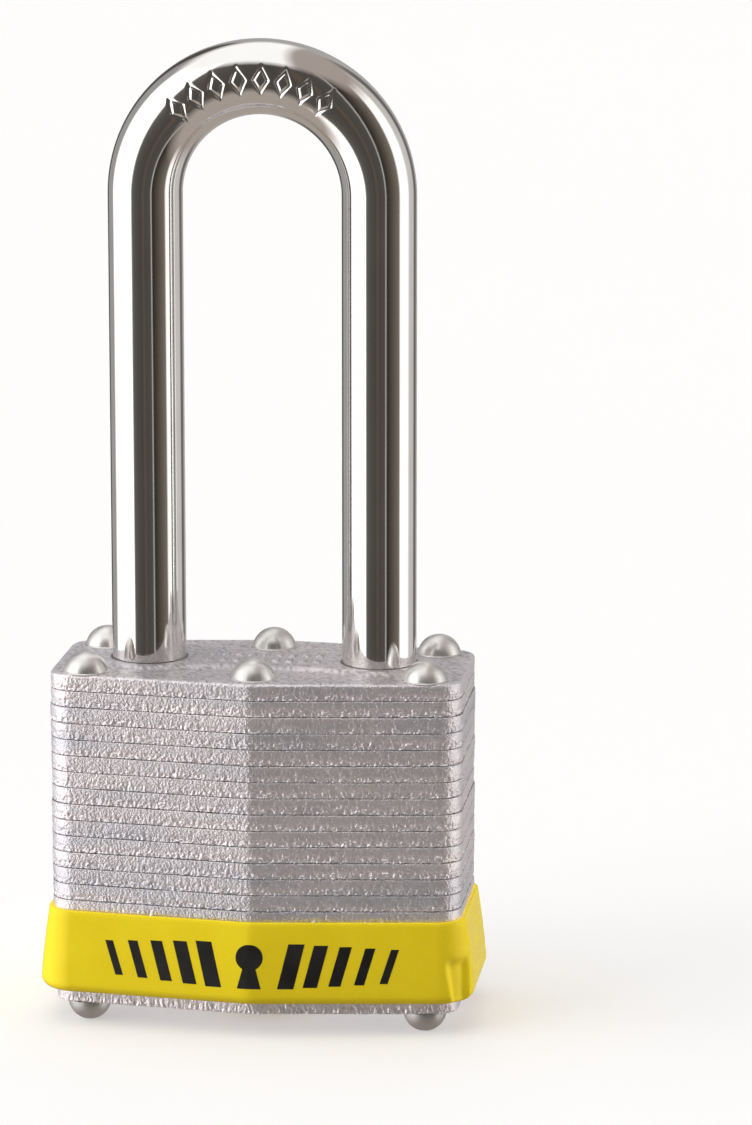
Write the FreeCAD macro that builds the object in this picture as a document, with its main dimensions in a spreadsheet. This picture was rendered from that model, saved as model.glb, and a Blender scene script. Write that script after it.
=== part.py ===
"""Laminated steel padlock with a long shackle, a moulded bumper and a four-pin cylinder.

Frame: millimetres, +Z up, +X across the two shackle legs with the toe leg on +X, front face on -Y.
The origin is the point under the middle of the body, level with the flats of the lower rivet heads.
Rest pose: shackle closed, plug turned a quarter turn to the open side, both locking levers drawn in.
"""
import FreeCAD, Part
import math
import os

import Sketcher

PLATES = 20
SEAT_PLATES = range(2, 6)        # pulled in for the bumper
CYLINDER_CEILING = 14            # first plate above the cylinder
TOE_LEVER_PLATE = 16
HEEL_LEVER_PLATE = 17
PINS = 4
FACE_SIGNS = ((-1, -1), (1, -1), (1, 1), (-1, 1))
TO_X = FreeCAD.Rotation(FreeCAD.Vector(0, 1, 0), 90)
TO_Y = FreeCAD.Rotation(FreeCAD.Vector(1, 0, 0), -90)
UPSIDE_DOWN = FreeCAD.Rotation(FreeCAD.Vector(1, 0, 0), 180)

DIMENSIONS = (
    # alias, value in mm, meaning
    ("body_width", 39.8, "body across the shackle legs"),
    ("ridge_half", 10.1, "half thickness of the body at its ridge"),
    ("corner_half", 7.7, "half thickness where face and end planes meet"),
    ("corner_radius", 2.6, "upright corners of the plates"),
    ("ridge_radius", 3.0, "soft ridge down the middle of each face"),
    ("plate_thickness", 1.5875, "one sixteenth inch plate"),
    ("cover_thickness", 2.3, "bottom plate"),
    ("cover_inset", 0.3, "bottom plate inside the others"),
    ("seat_inset", 0.6, "bumper seat plates inside the others"),
    ("fit_clearance", 0.05, "round pieces in their bores, each side"),
    ("shackle_radius", 3.57, "nine thirty-seconds inch bar"),
    ("shackle_clearance", 0.2, "leg in its bore, each side"),
    ("leg_spacing", 22.4, "between the leg centre lines"),
    ("leg_rise", 45.4, "top plate to the centre of the bow"),
    ("toe_gap", 0.3, "below the toe leg"),
    ("toe_chamfer", 1.0, "lead-in on both leg ends"),
    ("notch_margin", 0.3, "above and below the levers in the notches"),
    ("notch_clearance", 0.2, "past the nose of a thrown lever"),
    ("toe_bite", 1.3, "thrown toe lever into the leg"),
    ("heel_bite", 1.7, "thrown heel lever into the leg"),
    ("lever_stroke", 1.4, "travel of each lever"),
    ("relief_clearance", 0.15, "flat on the heel leg past the drawn lever"),
    ("groove_height", 2.05, "retaining groove of the heel leg"),
    ("stop_gap", 0.1, "heel foot under the lever at full lift"),
    ("lift_gap", 0.2, "toe leg above the rivet heads at full lift"),
    ("spring_room", 5.6, "under the heel leg"),
    ("spring_inset", 0.82, "coil centre line of the shackle spring inside the leg"),
    ("spring_wire", 0.4, "wire radius of the shackle spring"),
    ("spring_pitch", 0.96, "shackle spring, pressed down"),
    ("rivet_radius", 1.25, "rivet shanks"),
    ("rivet_from_end", 3.55, "corner rivets from the body's end"),
    ("corner_rivet_inset", 1.85, "corner rivets inside the corners, across the body"),
    ("mid_rivet_inset", 3.15, "short rivets inside the ridges"),
    ("head_radius", 2.13, "upper rivet heads"),
    ("head_height", 1.9, "upper rivet heads"),
    ("tail_head_radius", 2.1, "lower rivet heads"),
    ("tail_head_height", 1.95, "lower rivet heads, to their flats"),
    ("countersink", 0.7, "hidden ends of the short rivets"),
    ("panel_height", 0.35, "raised panel of the top plate"),
    ("panel_rim", 1.13, "raised panel round each leg bore"),
    ("panel_waist", 3.4, "half width of the panel in the middle"),
    ("bridge_inset", 0.245, "ends of the panel's bridge inside its discs"),
    ("head_room", 0.15, "panel's clearance round the rivet heads"),
    ("bumper_bottom", 1.25, "bumper above the bottom of the body"),
    ("bumper_overlap", 0.6, "bumper above its seat plates"),
    ("bumper_lip", 0.35, "bumper proud of the plates at its top"),
    ("bumper_flare", 1.2, "bumper proud of the plates at its bottom"),
    ("bumper_edge", 0.9, "bevel round the bumper's bottom"),
    ("bumper_clearance", 0.05, "bumper on its seat"),
    ("shell_wall", 1.4, "cylinder shell round the plug"),
    ("tower_width", 4.4, "pin tower of the shell"),
    ("tower_height", 5.15, "pin tower beyond the plug"),
    ("cover_strip", 0.45, "strip over the pin springs"),
    ("clip_room", 1.45, "above the shell"),
    ("clip_thickness", 0.6, "retaining clip"),
    ("clip_reach", 0.95, "retaining clip beyond the plug"),
    ("clip_depth", 0.65, "clip groove in the plug"),
    ("clip_mouth", 2.34, "half width of the clip's mouth"),
    ("clip_slack", 0.06, "round and beside the clip"),
    ("plug_radius", 4.55, "plug"),
    ("plug_rim", 0.65, "face of the plug beyond the plug"),
    ("plug_head_gap", 0.1, "round and above the face of the plug"),
    ("face_recess", 0.2, "face of the plug above the bottom plate's skin"),
    ("tail_radius", 1.5, "tail of the plug"),
    ("tail_flat", 1.1, "half width across the tail's flats"),
    ("keyway_end", 2.875, "keyway past the last pin's centre line"),
    ("pin_radius", 1.25, "pins"),
    ("first_pin", 3.6, "first pin above the bottom plate"),
    ("pin_pitch", 3.175, "between pins"),
    ("driver_length", 2.1, "driver pins"),
    ("shear_gap", 0.1, "between key pins and driver pins, each side"),
    ("pin_tip", 0.6, "cone on the key pins"),
    ("pin_spring_radius", 0.95, "coil centre line of the pin springs"),
    ("pin_spring_wire", 0.2, "wire radius of the pin springs"),
    ("pin_spring_pitch", 0.62, "pin springs"),
    ("cam_long", 3.8, "cam's long half axis"),
    ("cam_lash", 0.25, "between the cam and the levers"),
    ("lever_rail", 1.0, "lever material round its window"),
    ("lever_nose", 2.2, "half width of the lever noses"),
    ("lever_play", 0.05, "above, below and beside a lever"),
    ("pocket_end", 0.15, "lever pocket past a thrown lever"),
    ("bow_thickness", 0.2, "lever springs"),
    ("bow_half", 3.4, "half length of the lever springs"),
    ("bow_rise", 1.2, "arch of the lever springs"),
    ("overcut", 1.0, "cutting tools past the surface that they open"),
)
KEYWAY_SLOTS = (
    # name, lowest and highest X, lowest and highest Y in mm, keyway at rest
    ("blade", -0.55, 0.75, -3.6, 2.6),
    ("low_ward", -1.15, -0.5, -2.3, -0.9),
    ("high_ward", 0.7, 1.3, 0.2, 1.6),
)
KEY_CUTS = (0.3, 1.3, 0.8, 1.6)  # where each key pin's tip stands off the plug axis


def open_sheet(doc):
    """Make the spreadsheet of driving dimensions."""
    sheet = doc.addObject("Spreadsheet::Sheet", "dims")
    for row, (alias, size, meaning) in enumerate(DIMENSIONS, start=1):
        sheet.set(f"A{row}", alias)
        sheet.set(f"B{row}", str(size))
        sheet.setAlias(f"B{row}", alias)
        sheet.set(f"C{row}", meaning)
    for pin, cut_height in enumerate(KEY_CUTS, start=1):
        row = len(DIMENSIONS) + pin
        sheet.set(f"A{row}", f"key_cut_{pin}")
        sheet.set(f"B{row}", str(cut_height))
        sheet.setAlias(f"B{row}", f"key_cut_{pin}")
    doc.recompute()
    return sheet


doc = FreeCAD.newDocument("padlock")
sheet = open_sheet(doc)
nodes = []


def value(expression):
    """The number that an expression of the sheet's cells stands for."""
    return float(sheet.evalExpression(expression))


def keep(piece):
    """Mark an object as a sub-part that is written out."""
    nodes.append(piece)
    return piece


def bind(obj, **expressions):
    """Bind properties to expressions of the sheet's cells."""
    for name, expression in expressions.items():
        obj.setExpression(name, expression)
    return obj


def put(obj, x="0", y="0", z="0", turn=None):
    """Turn an object and bind where it stands."""
    if turn is not None:
        obj.Placement = FreeCAD.Placement(FreeCAD.Vector(), turn)
    for axis, expression in zip("xyz", (x, y, z)):
        obj.setExpression(f"Placement.Base.{axis}", expression)
    return obj


def cylinder(name, radius, height, x="0", y="0", z="0", turn=None):
    """A round bar that starts at the given place and runs along +Z, or along the turned axis."""
    bar = bind(doc.addObject("Part::Cylinder", name), Radius=radius, Height=height)
    return put(bar, x, y, z, turn)


def cone(name, radius_1, radius_2, height, x="0", y="0", z="0", turn=None):
    """A cone from the first radius to the second."""
    piece = doc.addObject("Part::Cone", name)
    bind(piece, Radius1=radius_1, Radius2=radius_2, Height=height)
    return put(piece, x, y, z, turn)


def box(name, x_low, x_high, y_half, z_low, z_high):
    """A block between two X values and two Z values, centred on the middle plane."""
    block = doc.addObject("Part::Box", name)
    bind(block, Length=f"({x_high}) - ({x_low})", Width=f"2 * ({y_half})",
         Height=f"({z_high}) - ({z_low})")
    return put(block, x_low, f"-({y_half})", z_low)


def fuse(name, pieces):
    """Join solids into one."""
    joined = doc.addObject("Part::MultiFuse", name)
    joined.Shapes = pieces
    joined.Refine = True
    return joined


def cut(name, base, tool):
    """Take one solid out of another."""
    rest = doc.addObject("Part::Cut", name)
    rest.Base = base
    rest.Tool = tool
    return rest


def common(name, base, tool):
    """Keep what two solids share."""
    shared = doc.addObject("Part::Common", name)
    shared.Base = base
    shared.Tool = tool
    return shared


def group(name, pieces):
    """Hold identical separate solids in one sub-part."""
    held = doc.addObject("Part::Compound", name)
    held.Links = pieces
    return held


def corner_arc(before, corner, after, radius):
    """The arc that rounds a corner, and its two ends."""
    to_before = (before - corner).normalize()
    to_after = (after - corner).normalize()
    half_angle = to_before.getAngle(to_after) / 2
    start = corner + to_before * (radius / math.tan(half_angle))
    end = corner + to_after * (radius / math.tan(half_angle))
    bisector = (to_before + to_after).normalize()
    centre = corner + bisector * (radius / math.sin(half_angle))
    middle = centre - bisector * radius
    return Part.Arc(start, middle, end), start, end


def pin_point(sketch, geometry, position, x, y, name):
    """Dimension a sketch point from the origin, each way."""
    for axis, kind, own_axis, expression in (("x", "DistanceX", -2, x), ("y", "DistanceY", -1, y)):
        if expression == "0":
            sketch.addConstraint(Sketcher.Constraint("PointOnObject", geometry, position, own_axis))
            continue
        index = sketch.addConstraint(
            Sketcher.Constraint(kind, -1, 1, geometry, position, value(expression)))
        sketch.renameConstraint(index, f"{name}_{axis}")
        sketch.setExpression(f"Constraints.{name}_{axis}", expression)


def draw_outline(sketch, corners, name="corner"):
    """Draw a closed outline through (x, y, radius) corners; each radius is None or rounds its corner."""
    spots = [FreeCAD.Vector(value(x), value(y), 0) for x, y, _ in corners]
    arrive, leave, arcs = list(spots), list(spots), {}
    for i, (_, _, radius) in enumerate(corners):
        if radius is not None:
            before, after = spots[i - 1], spots[(i + 1) % len(spots)]
            arcs[i], arrive[i], leave[i] = corner_arc(before, spots[i], after, value(radius))
    lines = []
    for i in range(len(corners)):
        lines.append(sketch.addGeometry(Part.LineSegment(leave[i], arrive[(i + 1) % len(spots)])))
    for i, (x, y, radius) in enumerate(corners):
        before, after = lines[i - 1], lines[i]
        if radius is None:
            sketch.addConstraint(Sketcher.Constraint("Coincident", before, 2, after, 1))
            pin_point(sketch, after, 1, x, y, f"{name}_{i}")
            continue
        bend = sketch.addGeometry(arcs[i])
        near, far = (1, 2) if sketch.getPoint(bend, 1).distanceToPoint(arrive[i]) < 1e-6 else (2, 1)
        sketch.addConstraint(Sketcher.Constraint("Tangent", before, 2, bend, near))
        sketch.addConstraint(Sketcher.Constraint("Tangent", after, 1, bend, far))
        index = sketch.addConstraint(Sketcher.Constraint("Radius", bend, value(radius)))
        sketch.renameConstraint(index, f"{name}_{i}_radius")
        sketch.setExpression(f"Constraints.{name}_{i}_radius", radius)
        tip = sketch.addGeometry(Part.Point(spots[i]), True)
        sketch.addConstraint(Sketcher.Constraint("PointOnObject", tip, 1, before))
        sketch.addConstraint(Sketcher.Constraint("PointOnObject", tip, 1, after))
        pin_point(sketch, tip, 1, x, y, f"{name}_{i}")


def plate_outline(name, inset):
    """The plates' six-sided outline, pulled in by an inset that may be negative."""
    half_width = f"dims.body_width / 2 - ({inset})"
    ridge = f"dims.ridge_half - ({inset})"
    corner = f"dims.corner_half - ({inset})"
    radius = f"dims.corner_radius - ({inset})"
    sketch = doc.addObject("Sketcher::SketchObject", name)
    draw_outline(sketch, [
        (f"-({half_width})", f"-({corner})", radius), ("0", f"-({ridge})", "dims.ridge_radius"),
        (half_width, f"-({corner})", radius), (half_width, corner, radius),
        ("0", ridge, "dims.ridge_radius"), (f"-({half_width})", corner, radius)])
    return sketch


def extrude(name, sketch, height, z):
    """A solid of a sketch's outline, standing at a height of its own."""
    solid = doc.addObject("Part::Extrusion", name)
    solid.Base = sketch
    solid.DirMode = "Custom"
    solid.Dir = FreeCAD.Vector(0, 0, 1)
    solid.Solid = True
    bind(solid, LengthFwd=height)
    return put(solid, z=z)


def plate_floor(number):
    """Underside of a plate, counted from the bottom plate as number one."""
    if number == 1:
        return BODY_FLOOR
    return f"{COVER_TOP} + {number - 2} * dims.plate_thickness"


BODY_FLOOR = "dims.tail_head_height"
COVER_TOP = "dims.tail_head_height + dims.cover_thickness"
CYLINDER_TOP = plate_floor(CYLINDER_CEILING)
TOE_LEVER_FLOOR = plate_floor(TOE_LEVER_PLATE)
HEEL_LEVER_FLOOR = plate_floor(HEEL_LEVER_PLATE)
LEVER_CEILING = plate_floor(HEEL_LEVER_PLATE + 1)
TOP_FACE = plate_floor(PLATES + 1)
ABOVE = f"{TOP_FACE} + 2 * dims.head_height"
RIVET_BORE = "dims.rivet_radius + dims.fit_clearance"
RIVET_X = "(dims.body_width / 2 - dims.rivet_from_end)"
RIVET_Y = "(dims.corner_half - dims.corner_rivet_inset)"
MID_RIVET_Y = "(dims.ridge_half - dims.mid_rivet_inset)"
HEAD_ROOM = "dims.head_radius + dims.head_room"
LEG_X = "(dims.leg_spacing / 2)"
LEG_BORE = "dims.shackle_radius + dims.shackle_clearance"
TOE_END = f"({CYLINDER_TOP} + dims.toe_gap)"
LIFT = f"({TOP_FACE} + dims.head_height + dims.lift_gap - {TOE_END})"
HEEL_END = f"({COVER_TOP} + dims.spring_room)"
SHELL_TOP = f"({CYLINDER_TOP} - dims.clip_room)"
LEVER_HEIGHT = "(dims.plate_thickness - 2 * dims.lever_play)"
CAM_SHORT = "(dims.cam_long - dims.lever_stroke)"
WINDOW = "(dims.cam_long + dims.cam_lash)"
LEVER_POCKET = f"({WINDOW} + dims.lever_rail + dims.lever_stroke + dims.pocket_end)"
SHELL_RADIUS = "(dims.plug_radius + dims.fit_clearance + dims.shell_wall)"
TOWER_REACH = "(dims.plug_radius + dims.tower_height)"
PLUG_HEAD = "(dims.plug_radius + dims.plug_rim)"
CLIP_SEAT = "(dims.plug_radius - dims.clip_depth)"
CLIP_RADIUS = "(dims.plug_radius + dims.clip_reach)"
PANEL_RADIUS = f"({LEG_BORE} + dims.panel_rim)"
PIN_BORE = "dims.pin_radius + dims.fit_clearance"


def pin_height(pin):
    """Centre line of a pin, the first one nearest the bottom plate."""
    return f"{COVER_TOP} + dims.first_pin + {pin - 1} * dims.pin_pitch"


def make_bores():
    """Everything that the stack of plates is bored and pocketed for, as one solid in place."""
    span = f"{ABOVE} - ({CYLINDER_TOP})"
    cavities = []
    for i, (side, face) in enumerate(FACE_SIGNS):
        x, y = f"{side} * {RIVET_X}", f"{face} * {RIVET_Y}"
        cavities.append(cylinder(f"corner_bore_{i}", RIVET_BORE, ABOVE, x, y))
        cavities.append(cylinder(f"corner_head_room_{i}", HEAD_ROOM, "dims.head_height", x, y, TOP_FACE))
    for face in (-1, 1):
        y = f"{face} * {MID_RIVET_Y}"
        cavities.append(cylinder(f"mid_head_room_{face + 1}", HEAD_ROOM, "dims.head_height", y=y,
                                 z=TOP_FACE))
        cavities.append(cylinder(f"mid_bore_{face + 1}", RIVET_BORE, span, y=y, z=CYLINDER_TOP))
        cavities.append(cone(f"mid_sink_{face + 1}", f"{RIVET_BORE} + dims.countersink", RIVET_BORE,
                             "dims.countersink", y=y, z=CYLINDER_TOP))
    cavities.append(cylinder("heel_bore", LEG_BORE, f"{ABOVE} - ({COVER_TOP})", f"-{LEG_X}", z=COVER_TOP))
    cavities.append(cylinder("toe_bore", LEG_BORE, span, LEG_X, z=CYLINDER_TOP))
    cavities.append(cylinder("shell_bore", f"{SHELL_RADIUS} + dims.fit_clearance",
                             f"{CYLINDER_TOP} - ({COVER_TOP})", z=COVER_TOP))
    cavities.append(box("tower_slot", "0", f"{TOWER_REACH} + dims.cover_strip + 2 * dims.fit_clearance",
                        "dims.tower_width / 2 + dims.fit_clearance", COVER_TOP, CYLINDER_TOP))
    cavities.append(cylinder("face_bore", f"{PLUG_HEAD} + dims.plug_head_gap", COVER_TOP))
    cavities.append(cylinder("tail_bore", "dims.tail_radius + dims.plug_head_gap",
                             f"{LEVER_CEILING} - ({CYLINDER_TOP})", z=CYLINDER_TOP))
    cavities.append(box("lever_pocket", f"-{LEVER_POCKET}", LEVER_POCKET,
                        f"{WINDOW} + dims.lever_rail + dims.lever_play", TOE_LEVER_FLOOR, LEVER_CEILING))
    cavities.append(box("nose_slot", f"-{LEG_X}", LEG_X, "dims.lever_nose + dims.lever_play",
                        TOE_LEVER_FLOOR, LEVER_CEILING))
    return fuse("bores", cavities)


def make_panel():
    """The raised panel of the top plate: a disc round each leg and a waisted bridge between them."""
    tall = f"({TOP_FACE} + dims.panel_height)"
    low = f"({TOP_FACE} - dims.plate_thickness / 2)"
    thick = f"{tall} - {low}"
    waist_radius = (f"({LEG_X}^2 + dims.panel_waist^2 - {PANEL_RADIUS}^2)"
                    f" / (2 * ({PANEL_RADIUS} - dims.panel_waist))")
    discs = [cylinder(f"panel_disc_{side + 1}", PANEL_RADIUS, thick, f"{side} * {LEG_X}", z=low)
             for side in (-1, 1)]
    bridge = box("panel_bridge", f"-{LEG_X}", LEG_X, f"{PANEL_RADIUS} - dims.bridge_inset", low, tall)
    waists = [cylinder(f"panel_waist_{face + 1}", waist_radius, f"2 * ({thick})",
                       y=f"{face} * (dims.panel_waist + {waist_radius})", z=f"{low} - dims.panel_height")
              for face in (-1, 1)]
    return fuse("panel", discs + [cut("panel_middle", bridge, fuse("panel_waists", waists))])


def make_plates():
    """The stack of plates, from the bottom cover to the embossed top."""
    bores = make_bores()
    full = plate_outline("full_outline", "0")
    seat = plate_outline("seat_outline", "dims.seat_inset")
    cover = plate_outline("cover_outline", "dims.cover_inset")
    for number in range(1, PLATES + 1):
        outline, height = full, "dims.plate_thickness"
        if number == 1:
            outline, height = cover, "dims.cover_thickness"
        elif number in SEAT_PLATES:
            outline = seat
        blank = extrude(f"blank_{number:02d}", outline, height, plate_floor(number))
        if number == PLATES:
            blank = fuse("embossed_blank", [blank, make_panel()])
        keep(cut(f"plate_{number:02d}", blank, bores))


def dome(name, radius, height, x, y, z):
    """A domed upper rivet head: the cap of a ball."""
    ball = f"(({radius})^2 + ({height})^2) / (2 * {height})"
    head = doc.addObject("Part::Sphere", name)
    bind(head, Radius=ball, Angle1=f"asin(1 - {height} / ({ball}))")
    return put(head, x, y, f"{z} + {height} - {ball}")


def tail_head(name, x, y):
    """A lower rivet head: half a ball with a flat where it stands."""
    head = doc.addObject("Part::Sphere", name)
    head.Angle1 = 0
    bind(head, Radius="dims.tail_head_radius",
         Angle2="asin(dims.tail_head_height / dims.tail_head_radius)")
    return put(head, x, y, BODY_FLOOR, UPSIDE_DOWN)


def make_rivets():
    """Four long rivets through the whole stack and two short ones through its upper plates."""
    long_rivets = []
    for i, (side, face) in enumerate(FACE_SIGNS):
        x, y = f"{side} * {RIVET_X}", f"{face} * {RIVET_Y}"
        long_rivets.append(fuse(f"corner_rivet_{i}", [
            cylinder(f"corner_shank_{i}", "dims.rivet_radius", f"{TOP_FACE} - {BODY_FLOOR}", x, y,
                     BODY_FLOOR),
            dome(f"corner_head_{i}", "dims.head_radius", "dims.head_height", x, y, TOP_FACE),
            tail_head(f"corner_tail_{i}", x, y)]))
    keep(group("corner_rivets", long_rivets))
    short_rivets = []
    for i, face in enumerate((-1, 1)):
        y = f"{face} * {MID_RIVET_Y}"
        short_rivets.append(fuse(f"mid_rivet_{i}", [
            cylinder(f"mid_shank_{i}", "dims.rivet_radius", f"{TOP_FACE} - ({CYLINDER_TOP})", y=y,
                     z=CYLINDER_TOP),
            cone(f"mid_foot_{i}", "dims.rivet_radius + dims.countersink", "dims.rivet_radius",
                 "dims.countersink", y=y, z=CYLINDER_TOP),
            dome(f"mid_head_{i}", "dims.head_radius", "dims.head_height", "0", y, TOP_FACE)]))
    keep(group("mid_rivets", short_rivets))


def make_bumper():
    """The moulded bumper: flared outside, stepped inside to sit on the seat plates."""
    low = f"{BODY_FLOOR} + dims.bumper_bottom"
    seat_top = plate_floor(SEAT_PLATES.stop)
    high = f"{seat_top} + dims.bumper_overlap"
    sections = []
    for name, proud, z in (("rim", "dims.bumper_flare - dims.bumper_edge", low),
                           ("skirt", "dims.bumper_flare", f"{low} + dims.bumper_edge"),
                           ("lip", "dims.bumper_lip", high)):
        sections.append(put(plate_outline(f"bumper_{name}", f"-({proud})"), z=z))
    skins = []
    for lower, upper in zip(sections, sections[1:]):
        skin = doc.addObject("Part::Loft", f"{upper.Name}_loft")
        skin.Sections = [lower, upper]
        skin.Solid = True
        skin.Ruled = True
        skins.append(skin)
    hollow = []
    for name, inset, bottom, top in (
            ("cover", "dims.cover_inset - dims.bumper_clearance", "0", COVER_TOP),
            ("seat", "dims.seat_inset - dims.bumper_clearance", COVER_TOP, seat_top),
            ("lip", "-dims.bumper_clearance", seat_top, f"{high} + dims.bumper_edge")):
        outline = plate_outline(f"hollow_{name}_outline", inset)
        hollow.append(extrude(f"hollow_{name}", outline, f"({top}) - ({bottom})", bottom))
    keep(cut("bumper", fuse("bumper_outside", skins), fuse("bumper_hollow", hollow)))


def make_shackle():
    """The shackle: a bent bar, notched for both levers and grooved above its heel foot."""
    bow_centre = f"{TOP_FACE} + dims.leg_rise"
    radius = "dims.shackle_radius"
    bow = doc.addObject("Part::Torus", "bow")
    bow.Angle3 = 180
    bind(bow, Radius1=LEG_X, Radius2=radius)
    put(bow, z=bow_centre, turn=FreeCAD.Rotation(FreeCAD.Vector(1, 0, 0), 90))
    bar = [bow]
    for name, x, end in (("heel", f"-{LEG_X}", HEEL_END), ("toe", LEG_X, TOE_END)):
        shoulder = f"{end} + dims.toe_chamfer"
        bar.append(cylinder(f"{name}_leg", radius, f"{bow_centre} - ({shoulder})", x, z=shoulder))
        bar.append(cone(f"{name}_lead_in", f"{radius} - dims.toe_chamfer", radius, "dims.toe_chamfer", x,
                        z=end))
    notch_low = f"{TOE_LEVER_FLOOR} - dims.notch_margin"
    notch_high = f"{LEVER_CEILING} + dims.notch_margin"
    inner_face = f"({LEG_X} - {radius})"
    foot_top = f"({HEEL_LEVER_FLOOR} + dims.lever_play - dims.stop_gap - {LIFT})"
    groove_top = f"{foot_top} + dims.groove_height"
    groove_core = f"{radius} - dims.heel_bite - dims.relief_clearance"
    relief = "dims.heel_bite - dims.lever_stroke + dims.relief_clearance"
    wide = f"2 * {radius}"
    tools = [
        box("toe_notch", "0", f"{inner_face} + dims.toe_bite + dims.notch_clearance", wide,
            notch_low, notch_high),
        box("heel_notch", f"-({inner_face} + dims.heel_bite + dims.notch_clearance)", "0", wide,
            notch_low, notch_high),
        box("heel_relief", f"-({inner_face} + {relief})", "0", wide, groove_top, notch_high),
        cut("heel_groove", cylinder("groove_outside", f"{radius} + dims.overcut", "dims.groove_height",
                                    f"-{LEG_X}", z=foot_top),
            cylinder("groove_inside", groove_core, "dims.groove_height", f"-{LEG_X}", z=foot_top))]
    keep(cut("shackle", fuse("bent_bar", bar), fuse("shackle_cuts", tools)))


def coil(name, radius, wire, pitch, height, x="0", y="0", z="0", turn=None):
    """A round-wire spring along +Z, or along the turned axis; height is between end centres."""
    path = doc.addObject("Part::Helix", f"{name}_path")
    bind(path, Radius=radius, Pitch=pitch, Height=height)
    section = doc.addObject("Part::Circle", f"{name}_section")
    bind(section, Radius=wire)
    put(section, x=radius, turn=FreeCAD.Rotation(FreeCAD.Vector(1, 0, 0), 90))
    spring = doc.addObject("Part::Sweep", name)
    spring.Sections = [section]
    doc.recompute()
    spring.Spine = (path, [f"Edge{i + 1}" for i in range(len(path.Shape.Edges))])
    spring.Solid = True
    spring.Frenet = True
    return put(spring, x, y, z, turn)


def make_shackle_spring():
    """The spring that lifts the shackle, pressed down under its heel."""
    slack = "(dims.spring_wire + dims.fit_clearance)"
    keep(coil("shackle_spring", "dims.shackle_radius - dims.spring_inset", "dims.spring_wire",
              "dims.spring_pitch", f"dims.spring_room - 2 * {slack}", f"-{LEG_X}",
              z=f"{COVER_TOP} + {slack}"))


def make_lever(name, side, floor, nose_reach):
    """A flat locking lever with a window for the cam; its nose points to the given side."""
    body = doc.addObject("PartDesign::Body", name)
    plane = next(f for f in body.Origin.OriginFeatures if f.Role == "XY_Plane")
    sketch = body.newObject("Sketcher::SketchObject", f"{name}_sketch")
    sketch.AttachmentSupport = [(plane, "")]
    sketch.MapMode = "FlatFace"
    outer = f"({WINDOW} + dims.lever_rail)"
    reach = f"{side} * ({nose_reach})"
    head, tail = f"{side} * {outer}", f"-({side}) * {outer}"
    draw_outline(sketch, [
        (tail, f"-{outer}", "dims.lever_rail"), (head, f"-{outer}", "dims.lever_rail"),
        (head, "-dims.lever_nose", None), (reach, "-dims.lever_nose", "dims.lever_rail / 2"),
        (reach, "dims.lever_nose", "dims.lever_rail / 2"), (head, "dims.lever_nose", None),
        (head, outer, "dims.lever_rail"), (tail, outer, "dims.lever_rail")], "rim")
    draw_outline(sketch, [
        (f"-{WINDOW}", f"-{WINDOW}", "dims.lever_rail / 2"), (WINDOW, f"-{WINDOW}", "dims.lever_rail / 2"),
        (WINDOW, WINDOW, "dims.lever_rail / 2"), (f"-{WINDOW}", WINDOW, "dims.lever_rail / 2")], "window")
    pad = body.newObject("PartDesign::Pad", f"{name}_pad")
    pad.Profile = sketch
    bind(pad, Length=LEVER_HEIGHT)
    body.Tip = pad
    put(body, z=f"{floor} + dims.lever_play")
    keep(body)


def make_levers():
    """Both levers, drawn in, and the bow spring behind each."""
    inner_face = f"({LEG_X} - dims.shackle_radius)"
    make_lever("toe_lever", 1, TOE_LEVER_FLOOR, f"{inner_face} + dims.toe_bite - dims.lever_stroke")
    make_lever("heel_lever", -1, HEEL_LEVER_FLOOR, f"{inner_face} + dims.heel_bite - dims.lever_stroke")
    tail = f"({WINDOW} + dims.lever_rail + dims.fit_clearance)"
    radius = "((dims.bow_half^2 + dims.bow_rise^2) / (2 * dims.bow_rise))"
    for name, side, floor in (("toe", -1, TOE_LEVER_FLOOR), ("heel", 1, HEEL_LEVER_FLOOR)):
        z = f"{floor} + dims.lever_play"
        x = f"{side} * ({tail} + {radius})"
        hoop = cut(f"{name}_hoop", cylinder(f"{name}_hoop_out", radius, LEVER_HEIGHT, x, z=z),
                   cylinder(f"{name}_hoop_in", f"{radius} - dims.bow_thickness", LEVER_HEIGHT, x, z=z))
        near, far = f"{side} * ({tail} - dims.bow_rise)", f"{side} * ({tail} + dims.bow_rise)"
        low, high = (far, near) if side < 0 else (near, far)
        window = box(f"{name}_bow_span", low, high, "dims.bow_half", z, f"{z} + {LEVER_HEIGHT}")
        keep(common(f"{name}_lever_spring", hoop, window))


def make_cylinder_shell():
    """The cylinder's shell with its pin tower, and the strip that closes the tower."""
    height = f"{SHELL_TOP} - ({COVER_TOP})"
    solid = fuse("shell_solid", [
        cylinder("shell_round", SHELL_RADIUS, height, z=COVER_TOP),
        box("shell_tower", "0", TOWER_REACH, "dims.tower_width / 2", COVER_TOP, SHELL_TOP)])
    holes = [cylinder("plug_bore", "dims.plug_radius + dims.fit_clearance", height, z=COVER_TOP)]
    for pin in range(1, PINS + 1):
        holes.append(cylinder(f"driver_bore_{pin}", PIN_BORE, TOWER_REACH, z=pin_height(pin), turn=TO_X))
    keep(cut("cylinder_shell", solid, fuse("shell_holes", holes)))
    strip_low = f"{TOWER_REACH} + dims.fit_clearance"
    keep(box("spring_cover", strip_low, f"{strip_low} + dims.cover_strip", "dims.tower_width / 2",
             COVER_TOP, SHELL_TOP))


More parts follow.
